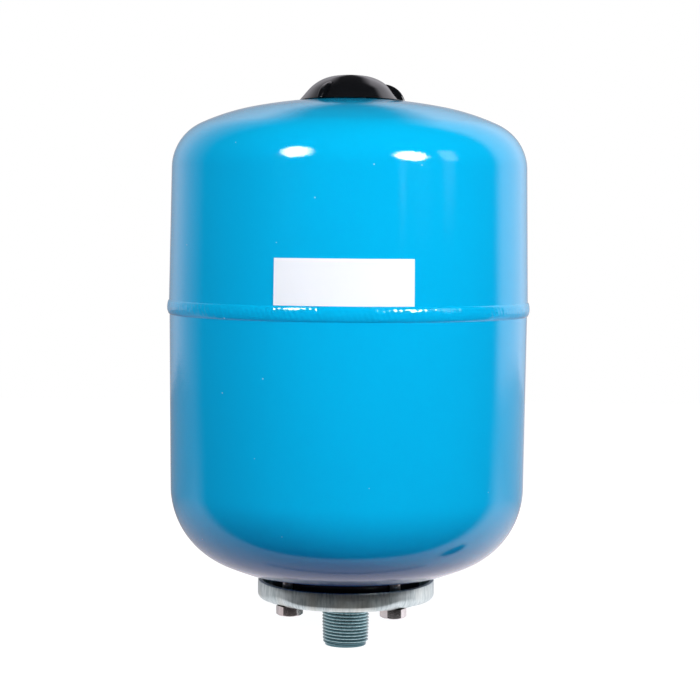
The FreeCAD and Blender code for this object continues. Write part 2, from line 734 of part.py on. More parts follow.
def cap_dome(centre, inward, foot):
    """The solid under the cap's outer face, or under its inner face."""
    dome = chain(centre, cap_arcs(), 1, inward)
    side = last_point(dome)
    slant = (side.z - foot) / math.tan(math.radians(CAP_SIDE_ANGLE))
    rest = path(side, at(side.x + slant, foot), at(0, foot), first_point(dome))
    return turned(dome + rest)


def cap_rib(foot):
    """One grip rib: a fin whose back is one arc, rounded along its edges."""
    inner_radius = RIB_START_RADIUS - CAP_WALL / 2
    reach = CAP_RADIUS + RIB_REACH
    dome_top = crown_top + CAP_HEIGHT_ABOVE_CROWN
    centre = at(0, dome_top - CAP_CROWN_RADIUS)
    side_centre = arc_centres(centre, cap_arcs(), 1)[1]
    run = RIB_START_RADIUS - side_centre.x
    start = at(RIB_START_RADIUS, side_centre.z + math.sqrt(CAP_SIDE_RADIUS ** 2 - run ** 2))
    back = arc(start, at(RIB_SHOULDER_RADIUS, foot + RIB_SHOULDER_HEIGHT), at(reach, foot))
    rest = path(at(reach, foot), at(inner_radius, foot), at(inner_radius, start.z), start)
    face = Part.Face(Part.Wire(Part.sortEdges([back] + rest)[0]))
    face.translate(Vector(0, -RIB_THICKNESS / 2, 0))
    fin = face.extrude(Vector(0, RIB_THICKNESS, 0))
    curved = [edge for edge in fin.Edges if isinstance(edge.Curve, Part.Circle)]
    return fin.makeFillet(RIB_ROUND, curved)


def cover_cap():
    """Dome that stands just clear of the crown, with its hub round the valve's collar."""
    inner_radius = CAP_RADIUS - CAP_WALL / math.sin(math.radians(CAP_SIDE_ANGLE))
    foot = crown_height(inner_radius) + CAP_CLEARANCE
    top = crown_top + CAP_HEIGHT_ABOVE_CROWN
    centre = at(0, top - CAP_CROWN_RADIUS)
    dome = cap_dome(centre, 0.0, foot)
    ribs = [turned_by(cap_rib(foot), FIRST_RIB_ANGLE + i * FULL_TURN / RIB_COUNT) for i in range(RIB_COUNT)]
    hollow = cap_dome(centre, CAP_WALL, foot)
    hub_bore = COLLAR_NUT_RADIUS + CAP_CLEARANCE
    hub = ring(hub_bore, hub_bore + HUB_WALL, collar_nut_bottom + CAP_CLEARANCE, top - CAP_WALL / 2)
    hub = hub.common(dome)
    return dome.fuse(ribs).cut(hollow).fuse(hub).removeSplitter()


PIECES = {
    "upper_shell": upper_shell,
    "lower_shell": lower_shell,
    "girth_weld": girth_weld,
    "label": label,
    "threaded_nipple": threaded_nipple,
    "nipple_weld": nipple_weld,
    "counterflange": counterflange,
    "flange_bolts": flange_bolts,
    "weld_nuts": weld_nuts,
    "bladder": bladder,
    "valve_boss": valve_boss,
    "boss_weld": boss_weld,
    "valve_seal": valve_seal,
    "valve_body": valve_body,
    "core_barrel": core_barrel,
    "core_seal": core_seal,
    "core_pin": core_pin,
    "core_cup": core_cup,
    "cup_seal": cup_seal,
    "core_spring": core_spring,
    "cover_cap": cover_cap,
}

os.makedirs("parts", exist_ok=True)
for name, make in PIECES.items():
    shape = make()
    shape.exportStep("parts/" + name + ".step")
    box = shape.BoundBox
    print(f"{name}: {len(shape.Solids)} solid, valid {shape.isValid()}, volume {shape.Volume:.1f} mm3, "
          f"z {box.ZMin:.2f} to {box.ZMax:.2f}, x {box.XMin:.2f} to {box.XMax:.2f}")
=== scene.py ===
"""Well pressure tank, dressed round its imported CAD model.

Everything is in the model's own frame: metres, +Z up, the label towards -Y. Sizes are written in
millimetres and turned to metres where a mesh is made.
"""
import json
import math

import bmesh
import bpy
from mathutils import Matrix, Vector


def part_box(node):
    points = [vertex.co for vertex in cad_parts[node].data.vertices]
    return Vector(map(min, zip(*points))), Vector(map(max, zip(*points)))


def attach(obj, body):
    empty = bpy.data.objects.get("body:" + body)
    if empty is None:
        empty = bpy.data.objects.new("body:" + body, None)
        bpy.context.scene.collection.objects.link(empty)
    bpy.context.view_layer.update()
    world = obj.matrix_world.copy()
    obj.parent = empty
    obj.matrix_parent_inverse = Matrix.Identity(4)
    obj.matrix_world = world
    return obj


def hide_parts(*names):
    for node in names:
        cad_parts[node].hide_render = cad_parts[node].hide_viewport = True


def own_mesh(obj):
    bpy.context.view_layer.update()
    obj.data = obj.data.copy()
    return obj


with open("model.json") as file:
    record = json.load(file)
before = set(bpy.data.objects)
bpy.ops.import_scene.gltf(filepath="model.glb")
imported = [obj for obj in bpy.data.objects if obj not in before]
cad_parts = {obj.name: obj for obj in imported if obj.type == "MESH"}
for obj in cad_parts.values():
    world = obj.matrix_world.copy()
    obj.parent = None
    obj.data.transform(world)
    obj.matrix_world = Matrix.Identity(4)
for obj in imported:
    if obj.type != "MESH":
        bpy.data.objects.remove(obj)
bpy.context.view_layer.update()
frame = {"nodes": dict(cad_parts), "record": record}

MM = 0.001
FULL_TURN = 2 * math.pi
STEPS_ROUND = 256
WALL_STEPS = 24
SHARP_ANGLE = math.radians(25)
SAME_POINT = 0.0005

MATH = "ShaderNodeMath"
VECTOR_MATH = "ShaderNodeVectorMath"
RANGE = "ShaderNodeMapRange"
MIX = "ShaderNodeMix"
NOISE = "ShaderNodeTexNoise"
SPLIT = "ShaderNodeSeparateXYZ"
COMBINE = "ShaderNodeCombineXYZ"
BUMP = "ShaderNodeBump"
PLASTIC_OR_METAL = "ShaderNodeBsdfPrincipled"
SURFACE = "ShaderNodeOutputMaterial"


# Small tools

def colour(code):
    """An sRGB hex value as linear red, green, blue and alpha."""
    channels = [int(code[i:i + 2], 16) / 255 for i in (1, 3, 5)]
    linear = [c / 12.92 if c <= 0.04045 else ((c + 0.055) / 1.055) ** 2.4 for c in channels]
    return (*linear, 1.0)


def add(tree, kind, inputs=None, **settings):
    """Adds a node with its settings and links. An input is given as a value, a hex colour, a node,
    or a node with the name of its output; a list joins several."""
    node = tree.nodes.new(kind)
    for setting, value in settings.items():
        setattr(node, setting, value)
    for key, value in (inputs or {}).items():
        if isinstance(key, int):
            entry = node.inputs[key]
        else:
            entry = next(each for each in node.inputs if each.enabled and each.name == key)
        for source in value if isinstance(value, list) else [value]:
            if isinstance(source, bpy.types.Node):
                tree.links.new(next(each for each in source.outputs if each.enabled), entry)
            elif isinstance(source, tuple) and isinstance(source[0], bpy.types.Node):
                tree.links.new(source[0].outputs[source[1]], entry)
            else:
                entry.default_value = colour(source) if isinstance(source, str) else source
    return node


def shown(mesh, name, material):
    """Puts a mesh in the scene as a finished piece with one material."""
    mesh.materials.clear()
    mesh.materials.append(material)
    piece = bpy.data.objects.new(name, mesh)
    bpy.context.scene.collection.objects.link(piece)
    return piece


def smooth(mesh, sharp=SHARP_ANGLE):
    """Smooth shading that keeps the true corners crisp."""
    for face in mesh.polygons:
        face.use_smooth = True
    mesh.set_sharp_from_angle(angle=sharp)


def arc_points(centre, radius, start, end, count):
    """Points of a section's arc, from angle to angle in degrees; 0 points away from the axis."""
    points = []
    for i in range(count + 1):
        angle = math.radians(start + (end - start) * i / count)
        points.append((centre[0] + radius * math.cos(angle), centre[1] + radius * math.sin(angle)))
    return points


def lathe(name, outline, steps=STEPS_ROUND, centre=(0.0, 0.0)):
    """A closed solid turned from an outline in mm, given anticlockwise with the axis to its left."""
    mesh = bpy.data.meshes.new(name)
    bm = bmesh.new()
    rings = []
    for radius, height in outline:
        ring = []
        for j in range(steps):
            angle = FULL_TURN * j / steps
            place = (centre[0] + radius * math.cos(angle), centre[1] + radius * math.sin(angle), height)
            ring.append(bm.verts.new(Vector(place) * MM))
        rings.append(ring)
    for ring, above in zip(rings, rings[1:] + rings[:1]):
        for j in range(steps):
            k = (j + 1) % steps
            bm.faces.new((ring[j], ring[k], above[k], above[j]))
    bmesh.ops.remove_doubles(bm, verts=bm.verts, dist=SAME_POINT * MM)
    bm.to_mesh(mesh)
    bm.free()
    smooth(mesh)
    return mesh


def merged_copy(node):
    """A CAD node's mesh with its loose triangles joined, so that it can be shaded smooth."""
    mesh = frame["nodes"][node].data.copy()
    bm = bmesh.new()
    bm.from_mesh(mesh)
    bmesh.ops.remove_doubles(bm, verts=bm.verts, dist=SAME_POINT * MM)
    bm.to_mesh(mesh)
    bm.free()
    smooth(mesh)
    return mesh


def finished(piece, body, slot, *nodes):
    """Every piece's last step: the body it moves with and the CAD nodes it stands for. Its slot is not used.
    """
    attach(piece, body)
    if nodes:
        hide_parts(*nodes)


# Sizes of the drawn shells, in mm, as the CAD has them

SHEET = 1.2
SEAT = 43.7
CREASE_RADIUS = 59.7
LOWER_CROWN_RADIUS = 182.3
LOWER_CROWN_ANGLE = 23.1
LOWER_SHOULDER_RADIUS = 100.07
LOWER_TAPER = 0.54
LOWER_WALL = 99.46
NECK_RADIUS = 28.0
NECK_END = 36.7
NECK_BEND = 1.5
STEP_HEIGHT = 1.5
STEP_TO_EDGE = 1.0
LAP_HEIGHT = 9.0
LAP_CLEARANCE = 0.05
UPPER_STANDS_OUT = 0.38
UPPER_CROWN_RADIUS = 284.5
UPPER_CROWN_ANGLE = 11.25
UPPER_MIDDLE_RADIUS = 125.9
UPPER_KNUCKLE_RADIUS = 27.8
UPPER_TAPER = 1.0
UPPER_WALL = 77.93
BOSS_HOLE_RADIUS = 9.0


def sine(angle):
    return math.sin(math.radians(angle))


def cosine(angle):
    return math.cos(math.radians(angle))


def tangent(angle):
    return math.tan(math.radians(angle))


lower_end = 90 - LOWER_TAPER
lower_knuckle = ((LOWER_SHOULDER_RADIUS - LOWER_CROWN_RADIUS * sine(LOWER_CROWN_ANGLE))
                 / (sine(lower_end) - sine(LOWER_CROWN_ANGLE)))
lower_centre = (0.0, SEAT + math.sqrt(LOWER_CROWN_RADIUS ** 2 - CREASE_RADIUS ** 2))
lower_knuckle_centre = ((LOWER_CROWN_RADIUS - lower_knuckle) * sine(LOWER_CROWN_ANGLE),
                        lower_centre[1] - (LOWER_CROWN_RADIUS - lower_knuckle) * cosine(LOWER_CROWN_ANGLE))
lower_shoulder = lower_knuckle_centre[1] - lower_knuckle * cosine(lower_end)
step_foot = lower_shoulder + LOWER_WALL
step_top = step_foot + STEP_HEIGHT
upper_edge = step_top + STEP_TO_EDGE
upper_shoulder = upper_edge + UPPER_WALL
upper_edge_radius = LOWER_SHOULDER_RADIUS + LOWER_WALL * tangent(LOWER_TAPER) + UPPER_STANDS_OUT
upper_shoulder_radius = upper_edge_radius - UPPER_WALL * tangent(UPPER_TAPER)
upper_end = 90 - UPPER_TAPER
upper_join = math.degrees(math.asin(
    (upper_shoulder_radius - (UPPER_CROWN_RADIUS - UPPER_MIDDLE_RADIUS) * sine(UPPER_CROWN_ANGLE)
     - UPPER_KNUCKLE_RADIUS * sine(upper_end)) / (UPPER_MIDDLE_RADIUS - UPPER_KNUCKLE_RADIUS)))
crown_top = (upper_shoulder + UPPER_CROWN_RADIUS
             - (UPPER_CROWN_RADIUS - UPPER_MIDDLE_RADIUS) * cosine(UPPER_CROWN_ANGLE)
             - (UPPER_MIDDLE_RADIUS - UPPER_KNUCKLE_RADIUS) * cosine(upper_join)
             - UPPER_KNUCKLE_RADIUS * cosine(upper_end))
upper_centre = (0.0, crown_top - UPPER_CROWN_RADIUS)


def upper_wall(height, inward=0.0):
    """The upper shell's wall radius at a height."""
    return upper_shoulder_radius + (upper_shoulder - height) * tangent(UPPER_TAPER) - inward


def lower_wall(height, inward=0.0):
    """The lower shell's wall radius at a height."""
    return LOWER_SHOULDER_RADIUS + (height - lower_shoulder) * tangent(LOWER_TAPER) - inward


def upper_face(inward, count=1):
    """The upper shell's dome from its shoulder up to the boss hole."""
    middle = (sine(UPPER_CROWN_ANGLE) * (UPPER_CROWN_RADIUS - UPPER_MIDDLE_RADIUS),
              upper_centre[1] + cosine(UPPER_CROWN_ANGLE) * (UPPER_CROWN_RADIUS - UPPER_MIDDLE_RADIUS))
    knuckle = (middle[0] + sine(upper_join) * (UPPER_MIDDLE_RADIUS - UPPER_KNUCKLE_RADIUS),
               middle[1] + cosine(upper_join) * (UPPER_MIDDLE_RADIUS - UPPER_KNUCKLE_RADIUS))
    hole = math.degrees(math.asin(BOSS_HOLE_RADIUS / (UPPER_CROWN_RADIUS - inward)))
    points = arc_points(knuckle, UPPER_KNUCKLE_RADIUS - inward, 90 - upper_end, 90 - upper_join, 22 * count)
    points += arc_points(middle, UPPER_MIDDLE_RADIUS - inward,
                         90 - upper_join, 90 - UPPER_CROWN_ANGLE, 10 * count)[1:]
    points += arc_points(upper_centre, UPPER_CROWN_RADIUS - inward,
                         90 - UPPER_CROWN_ANGLE, 90 - hole, 14)[1:]
    return points


def lower_face(inward, count=1):
    """The lower shell's bottom from the crease round its seat up to its shoulder."""
    radius = LOWER_CROWN_RADIUS - inward
    crease = math.degrees(math.acos((lower_centre[1] - SEAT - inward) / radius))
    points = arc_points(lower_centre, radius, crease - 90, LOWER_CROWN_ANGLE - 90, 6 * count)
    points += arc_points(lower_knuckle_centre, lower_knuckle - inward,
                         LOWER_CROWN_ANGLE - 90, lower_end - 90, 26 * count)[1:]
    return points


def walls_between(low, high, count, radius_at):
    """Points up a straight wall, without its ends."""
    heights = [low + (high - low) * i / count for i in range(1, count)]
    return [(radius_at(height), height) for height in heights]


# Finishes

def new_material(name):
    """An empty material, its node tree and a node that gives the piece's own place in millimetres."""
    made = bpy.data.materials.new(name)
    made.use_nodes = True
    made.node_tree.nodes.clear()
    own = add(made.node_tree, "ShaderNodeTexCoord")
    place = add(made.node_tree, "ShaderNodeMapping", {"Vector": (own, "Object"),
                                                      "Scale": (1 / MM, 1 / MM, 1 / MM)})
    return made, made.node_tree, place


def stoved_enamel(name, peel_depth, wave_size, wave_depth):
    """Gloss enamel sprayed on drawn steel and stoved. The eye sees an even deep blue, mirror-like
    but for a fine orange peel that frays the edges of what it reflects, the sheet's own shallow
    waves, and a few specks of dust under the film."""
    made, tree, place = new_material(name)
    cloud = add(tree, NOISE, {"Vector": place, "Scale": 1 / 45, "Detail": 2.0})
    tone = add(tree, MIX, {"Factor": cloud, "A": "#00b5e7", "B": "#00b9eb"}, data_type="RGBA")
    cells = add(tree, "ShaderNodeTexVoronoi", {"Vector": place, "Scale": 1 / 16, "Randomness": 1.0})
    dust = add(tree, RANGE, {"Value": cells, "From Min": 0.018, "From Max": 0.03,
                             "To Min": 1.0, "To Max": 0.0})
    dusty = add(tree, MIX, {"Factor": dust, "A": tone, "B": "#b4e4f2"}, data_type="RGBA")
    waves = add(tree, NOISE, {"Vector": place, "Scale": 1 / wave_size, "Detail": 1.0})
    peel = add(tree, NOISE, {"Vector": place, "Scale": 1 / 0.95, "Detail": 1.0})
    wavy = add(tree, BUMP, {"Height": waves, "Distance": wave_depth * MM, "Strength": 1.0})
    peeled = add(tree, BUMP, {"Height": peel, "Distance": peel_depth * MM, "Normal": wavy, "Strength": 1.0})
    gritty = add(tree, BUMP, {"Height": dust, "Distance": 0.03 * MM, "Normal": peeled, "Strength": 1.0})
    skin = add(tree, PLASTIC_OR_METAL, {"Base Color": dusty, "Roughness": 0.03, "IOR": 1.5,
                                        "Normal": gritty})
    add(tree, SURFACE, {"Surface": skin})
    return made


def zinc(name, light, dark, tint, rough_low, rough_high, streak_mm, streak_depth):
    """Bright zinc plate over pressed or cut steel. The eye sees pale metal with cloudy greenish and
    pinkish tints from the passivation, fine marks that the press or the die drew along the axis, and
    a shine that changes a little from place to place. The marks are drawn wider than they are."""
    made, tree, place = new_material(name)
    split = add(tree, SPLIT, {"Vector": place})
    angle = add(tree, MATH, {0: (split, "Y"), 1: (split, "X")}, operation="ARCTAN2")
    around = add(tree, MATH, {0: angle, 1: 50.0}, operation="MULTIPLY")
    along = add(tree, MATH, {0: (split, "Z"), 1: 0.14}, operation="MULTIPLY")
    drawn = add(tree, COMBINE, {"X": around, "Y": along})
    streaks = add(tree, NOISE, {"Vector": drawn, "Scale": 1 / streak_mm, "Detail": 3.0, "Roughness": 0.65})
    patches = add(tree, NOISE, {"Vector": place, "Scale": 1 / 9, "Detail": 2.0})
    tints = add(tree, NOISE, {"Vector": place, "Scale": 1 / 16, "Detail": 1.0})
    marks = add(tree, RANGE, {"Value": streaks, "From Min": 0.36, "From Max": 0.6})
    base = add(tree, MIX, {"Factor": marks, "A": dark, "B": light}, data_type="RGBA")
    share = add(tree, RANGE, {"Value": tints, "From Min": 0.45, "From Max": 0.7, "To Max": 0.7})
    tinted = add(tree, MIX, {"Factor": share, "A": base, "B": tint}, data_type="RGBA")
    shine = add(tree, RANGE, {"Value": patches, "From Min": 0.35, "From Max": 0.65,
                              "To Min": rough_low, "To Max": rough_high})
    streaky = add(tree, BUMP, {"Height": streaks, "Distance": streak_depth * MM, "Strength": 1.0})
    cloudy = add(tree, BUMP, {"Height": patches, "Distance": 0.03 * MM, "Normal": streaky, "Strength": 1.0})
    skin = add(tree, PLASTIC_OR_METAL, {"Base Color": tinted, "Metallic": 1.0, "Roughness": shine,
                                        "Normal": cloudy})
    add(tree, SURFACE, {"Surface": skin})
    return made


def cut_thread_zinc(name, lit_crest, shaded_root, root_radius, crest_radius):
    """Zinc plate over a cut thread. The eye sees blue-green passivation with a fine grain. Painted shade
    darkens the roots and a painted highlight makes the crests pale, patchy along the grain."""
    made, tree, place = new_material(name)
    flat = add(tree, VECTOR_MATH, {0: place, 1: (1, 1, 0)}, operation="MULTIPLY")
    radius = add(tree, VECTOR_MATH, {0: flat}, operation="LENGTH")
    # Painted light: colour goes from a dark root tone to a pale crest tone by radius, standing in for shade
    # in the roots and light on the crests.
    high = add(tree, RANGE, {"Value": radius, "From Min": root_radius, "From Max": crest_radius})
    grain = add(tree, NOISE, {"Vector": place, "Scale": 1 / 1.3, "Detail": 2.0})
    crest_light_patches = add(tree, RANGE, {"Value": grain, "From Min": 0.35, "From Max": 0.6, "To Min": 0.6})
    share = add(tree, MATH, {0: high, 1: crest_light_patches}, operation="MULTIPLY")
    tone = add(tree, MIX, {"Factor": share, "A": shaded_root, "B": lit_crest}, data_type="RGBA")
    shine = add(tree, RANGE, {"Value": grain, "From Min": 0.35, "From Max": 0.65,
                              "To Min": 0.16, "To Max": 0.26})
    grainy = add(tree, BUMP, {"Height": grain, "Distance": 0.005 * MM, "Strength": 1.0})
    skin = add(tree, PLASTIC_OR_METAL, {"Base Color": tone, "Metallic": 1.0, "Roughness": shine,
                                        "Normal": grainy})
    add(tree, SURFACE, {"Surface": skin})
    return made


def plain_metal(name, light, dark, rough_low, rough_high, grain_mm):
    """Steel or brass as the rolls, the lathe or the draw die left it. The eye sees one tone with a
    fine grain and a soft shine."""
    made, tree, place = new_material(name)
    grain = add(tree, NOISE, {"Vector": place, "Scale": 1 / grain_mm, "Detail": 3.0})
    tone = add(tree, MIX, {"Factor": grain, "A": dark, "B": light}, data_type="RGBA")
    shine = add(tree, RANGE, {"Value": grain, "From Min": 0.3, "From Max": 0.7,
                              "To Min": rough_low, "To Max": rough_high})
    grainy = add(tree, BUMP, {"Height": grain, "Distance": 0.004 * MM, "Strength": 1.0})
    skin = add(tree, PLASTIC_OR_METAL, {"Base Color": tone, "Metallic": 1.0, "Roughness": shine,
                                        "Normal": grainy})
    add(tree, SURFACE, {"Surface": skin})
    return made


def dark_moulding(name, light, dark, rough_low, rough_high, wave_mm, wave_depth):
    """Moulded black plastic or rubber. The eye sees near black with soft sink marks in what it
    reflects, and a shine that is patchy where the mould was worn."""
    made, tree, place = new_material(name)
    patches = add(tree, NOISE, {"Vector": place, "Scale": 1 / 6, "Detail": 2.0})
    tone = add(tree, MIX, {"Factor": patches, "A": dark, "B": light}, data_type="RGBA")
    shine = add(tree, RANGE, {"Value": patches, "From Min": 0.3, "From Max": 0.7,
                              "To Min": rough_low, "To Max": rough_high})
    waves = add(tree, NOISE, {"Vector": place, "Scale": 1 / wave_mm, "Detail": 1.0})
    wavy = add(tree, BUMP, {"Height": waves, "Distance": wave_depth * MM, "Strength": 1.0})
    skin = add(tree, PLASTIC_OR_METAL, {"Base Color": tone, "Roughness": shine, "IOR": 1.52,
                                        "Normal": wavy})
    add(tree, SURFACE, {"Surface": skin})
    return made


def printed_film(name):
    """Gloss white vinyl film laid by hand. The eye sees an even clean white whose shine shows very
    shallow ripples of the glue."""
    made, tree, place = new_material(name)
    glue = add(tree, NOISE, {"Vector": place, "Scale": 1 / 12, "Detail": 1.0})
    tone = add(tree, MIX, {"Factor": glue, "A": "#fdfdfd", "B": "#fbfcfc"}, data_type="RGBA")
    shine = add(tree, RANGE, {"Value": glue, "From Min": 0.3, "From Max": 0.7,
                              "To Min": 0.2, "To Max": 0.26})
    rippled = add(tree, BUMP, {"Height": glue, "Distance": 0.004 * MM, "Strength": 1.0})
    skin = add(tree, PLASTIC_OR_METAL, {"Base Color": tone, "Roughness": shine, "IOR": 1.46,
                                        "Normal": rippled})
    add(tree, SURFACE, {"Surface": skin})
    return made


enamel = stoved_enamel("stoved_blue_enamel", 0.04, 28, 0.03)
weld_enamel = stoved_enamel("enamel_over_weld", 0.03, 3.5, 0.03)
zinc_plate = zinc("bright_zinc_on_pressed_steel", "#dae4e1", "#b4c2c0", "#dcddd0", 0.33, 0.44, 1.4, 0.003)
zinc_thread = cut_thread_zinc("blue_green_zinc_on_cut_thread", "#bdd5d6", "#56767b", 12.1, 13.1)
zinc_bolt = zinc("pale_zinc_on_bolts", "#d6d0cc", "#b5b1ae", "#dccdc6", 0.16, 0.28, 2.0, 0.006)
bare_steel = plain_metal("bare_rolled_steel", "#8f9092", "#7d7e80", 0.28, 0.44, 1.5)
turned_brass = plain_metal("turned_brass", "#d9b566", "#c79f50", 0.18, 0.28, 0.6)
spring_steel = plain_metal("drawn_spring_wire", "#b4b5b6", "#9c9da0", 0.2, 0.3, 0.4)
moulded_bag = dark_moulding("moulded_bag_rubber", "#121314", "#0b0c0d", 0.10, 0.22, 5.0, 0.05)
seal_rubber = dark_moulding("moulded_seal_rubber", "#1d1d1d", "#161616", 0.5, 0.6, 1.0, 0.01)
cap_plastic = dark_moulding("gloss_black_cap_plastic", "#101114", "#0b0c0e", 0.08, 0.13, 12.0, 0.02)
label_film = printed_film("white_label_film")

FINISHES = {
    "blue_enamel": enamel,
    "weld_paint": weld_enamel,
    "zinc_plate": zinc_plate,
    "zinc_thread": zinc_thread,
    "zinc_bolt": zinc_bolt,
    "bare_steel": bare_steel,
    "black_rubber": moulded_bag,
    "seal_rubber": seal_rubber,
    "valve_brass": turned_brass,
    "spring_wire": spring_steel,
    "black_cap": cap_plastic,
    "label_film": label_film,
}

for part in frame["record"]["subparts"]:
    node = frame["nodes"][part["node"]]
    node.data.materials.clear()
    node.data.materials.append(FINISHES[part["material_slot"]])


# Drawn shells and the weld between them

upper_outline = [(upper_wall(upper_edge, SHEET), upper_edge), (upper_wall(upper_edge), upper_edge)]
upper_outline += walls_between(upper_edge, upper_shoulder, WALL_STEPS, upper_wall)
upper_outline += upper_face(0.0, 2)
upper_outline += upper_face(SHEET)[::-1]
dome = shown(lathe("upper_dome", upper_outline), "upper_dome", enamel)
finished(dome, "tank", "blue_enamel", "upper_shell")

neck_centre = (NECK_RADIUS + SHEET + NECK_BEND, SEAT - NECK_BEND)
lower_outline = [(NECK_RADIUS, NECK_END), (NECK_RADIUS + SHEET, NECK_END)]
lower_outline += arc_points(neck_centre, NECK_BEND, 180, 90, 6)
lower_outline += lower_face(0.0, 2)
lower_outline += walls_between(lower_shoulder, step_foot, WALL_STEPS, lower_wall)
lower_outline += [(lower_wall(step_foot), step_foot)]
lap = SHEET + LAP_CLEARANCE
rim = upper_edge + LAP_HEIGHT
lower_outline += [
    (upper_wall(step_top, lap), step_top),
    (upper_wall(rim, lap), rim),
    (upper_wall(rim, lap + SHEET), rim),
    (upper_wall(step_top, lap + SHEET), step_top),
    (lower_wall(step_foot, SHEET), step_foot),
]
lower_outline += lower_face(SHEET)[::-1]
lower_outline += arc_points(neck_centre, NECK_BEND + SHEET, 90, 180, 6)
bottom = shown(lathe("lower_bowl", lower_outline), "lower_bowl", enamel)
finished(bottom, "tank", "blue_enamel", "lower_shell")

BEAD_BELOW_EDGE = 4.3
BEAD_ABOVE_EDGE = 3.8
BEAD_PEAK_ABOVE_FOOT = 3.8
BEAD_RISE = 1.2
BEAD_FULLNESS = 0.6
BEAD_SUNK_SHARE = 0.6
bead_low = upper_edge - BEAD_BELOW_EDGE
bead_high = upper_edge + BEAD_ABOVE_EDGE
bead_height = bead_high - bead_low


def bead_outline(count):
    """The weld bead's section: an arc over the seam, and a back that lies in the sheets."""
    foot, top = lower_wall(bead_low), upper_wall(bead_high)
    skewed = math.log(0.5) / math.log(BEAD_PEAK_ABOVE_FOOT / bead_height)
    back = SHEET * BEAD_SUNK_SHARE
    points = [(lower_wall(bead_low, back), bead_low)]
    for i in range(count + 1):
        share = i / count
        rise = BEAD_RISE * math.sin(math.pi * share ** skewed) ** BEAD_FULLNESS
        points.append((foot + (top - foot) * share + rise, bead_low + bead_height * share))
    return points + [(upper_wall(bead_high, back), bead_high)]


def new_geometry_tree(name, sizes):
    """A Geometry Nodes tree with a geometry in and out and named sizes."""
    tree = bpy.data.node_groups.new(name, "GeometryNodeTree")
    tree.interface.new_socket(name="Geometry", in_out="INPUT", socket_type="NodeSocketGeometry")
    tree.interface.new_socket(name="Geometry", in_out="OUTPUT", socket_type="NodeSocketGeometry")
    for label, kind in sizes.items():
        tree.interface.new_socket(name=label, in_out="INPUT", socket_type=kind)
    return tree, tree.nodes.new("NodeGroupInput"), tree.nodes.new("NodeGroupOutput")


def run_tree(mesh, tree, values, name, material):
    """Runs a tree on a mesh and gives the result as a plain piece."""
    blank = bpy.data.objects.new(name + "_blank", mesh)
    bpy.context.scene.collection.objects.link(blank)
    modifier = blank.modifiers.new(name, "NODES")
    modifier.node_group = tree
    for item in tree.interface.items_tree:
        if item.in_out == "INPUT" and item.name in values:
            modifier[item.identifier] = values[item.name]
    bpy.context.view_layer.update()
    graph = bpy.context.evaluated_depsgraph_get()
    made = bpy.data.meshes.new_from_object(blank.evaluated_get(graph), depsgraph=graph)
    blank.modifiers.clear()
    bpy.data.objects.remove(blank)
    smooth(made)
    return shown(made, name, material)


def ripple_tree():
    """Moves a weld bead in and out: the even ripple of the torch and the unevenness of the pool."""
    tree, given, out = new_geometry_tree("weld_ripple", {
        "Ripple height": "NodeSocketFloat",
        "Ripples round": "NodeSocketFloat",
        "Ripple lean": "NodeSocketFloat",
        "Unevenness": "NodeSocketFloat",
        "Patches a metre": "NodeSocketFloat",
        "Wall radius": "NodeSocketFloat",
        "Bead rise": "NodeSocketFloat",
        "Material": "NodeSocketMaterial",
    })
    place = add(tree, "GeometryNodeInputPosition")
    split = add(tree, SPLIT, {0: place})
    flat = add(tree, COMBINE, {0: (split, "X"), 1: (split, "Y")})
    radius = add(tree, VECTOR_MATH, {0: flat}, operation="LENGTH")
    outward = add(tree, VECTOR_MATH, {0: flat}, operation="NORMALIZE")
    rise = add(tree, MATH, {0: (radius, "Value"), 1: (given, "Wall radius")}, operation="SUBTRACT")
    share = add(tree, MATH, {0: rise, 1: (given, "Bead rise")}, operation="DIVIDE", use_clamp=True)
    angle = add(tree, MATH, {0: (split, "Y"), 1: (split, "X")}, operation="ARCTAN2")
    lean = add(tree, MATH, {0: (split, "Z"), 1: (given, "Ripple lean")}, operation="MULTIPLY")
    turns = add(tree, MATH, {0: angle, 1: (given, "Ripples round"), 2: lean}, operation="MULTIPLY_ADD")
    wave = add(tree, MATH, {0: turns}, operation="SINE")
    ripple = add(tree, MATH, {0: wave, 1: (given, "Ripple height")}, operation="MULTIPLY")
    pool = add(tree, NOISE, {"Vector": place, "Scale": (given, "Patches a metre"), "Detail": 2.0})
    swell = add(tree, MATH, {0: pool, 1: 0.5}, operation="SUBTRACT")
    uneven = add(tree, MATH, {0: swell, 1: (given, "Unevenness"), 2: ripple}, operation="MULTIPLY_ADD")
    move = add(tree, MATH, {0: uneven, 1: share}, operation="MULTIPLY")
    step = add(tree, VECTOR_MATH, {0: outward, "Scale": move}, operation="SCALE")
    moved = add(tree, "GeometryNodeSetPosition", {"Geometry": (given, "Geometry"), "Offset": step})
    whole = add(tree, "GeometryNodeRealizeInstances", {"Geometry": moved})
    painted = add(tree, "GeometryNodeSetMaterial", {"Geometry": whole, "Material": (given, "Material")})
    tree.links.new(painted.outputs[0], out.inputs[0])
    return tree


# The ripple in mm; its lean is the radians that a ripple falls behind in each mm of height.
RIPPLE_HEIGHT = 0.05
RIPPLES_ROUND = 210.0
RIPPLE_LEAN = 0.9
UNEVENNESS = 0.4
PATCHES_PER_MM = 0.33
bead = run_tree(lathe("bead_blank", bead_outline(20), 1080), ripple_tree(), {
    "Ripple height": RIPPLE_HEIGHT * MM,
    "Ripples round": RIPPLES_ROUND,
    "Ripple lean": RIPPLE_LEAN / MM,
    "Unevenness": UNEVENNESS * MM,
    "Patches a metre": PATCHES_PER_MM / MM,
    "Wall radius": lower_wall(bead_low) * MM,
    "Bead rise": BEAD_RISE * MM,
    "Material": weld_enamel,
}, "girth_bead", weld_enamel)
finished(bead, "tank", "weld_paint", "girth_weld")


# Label

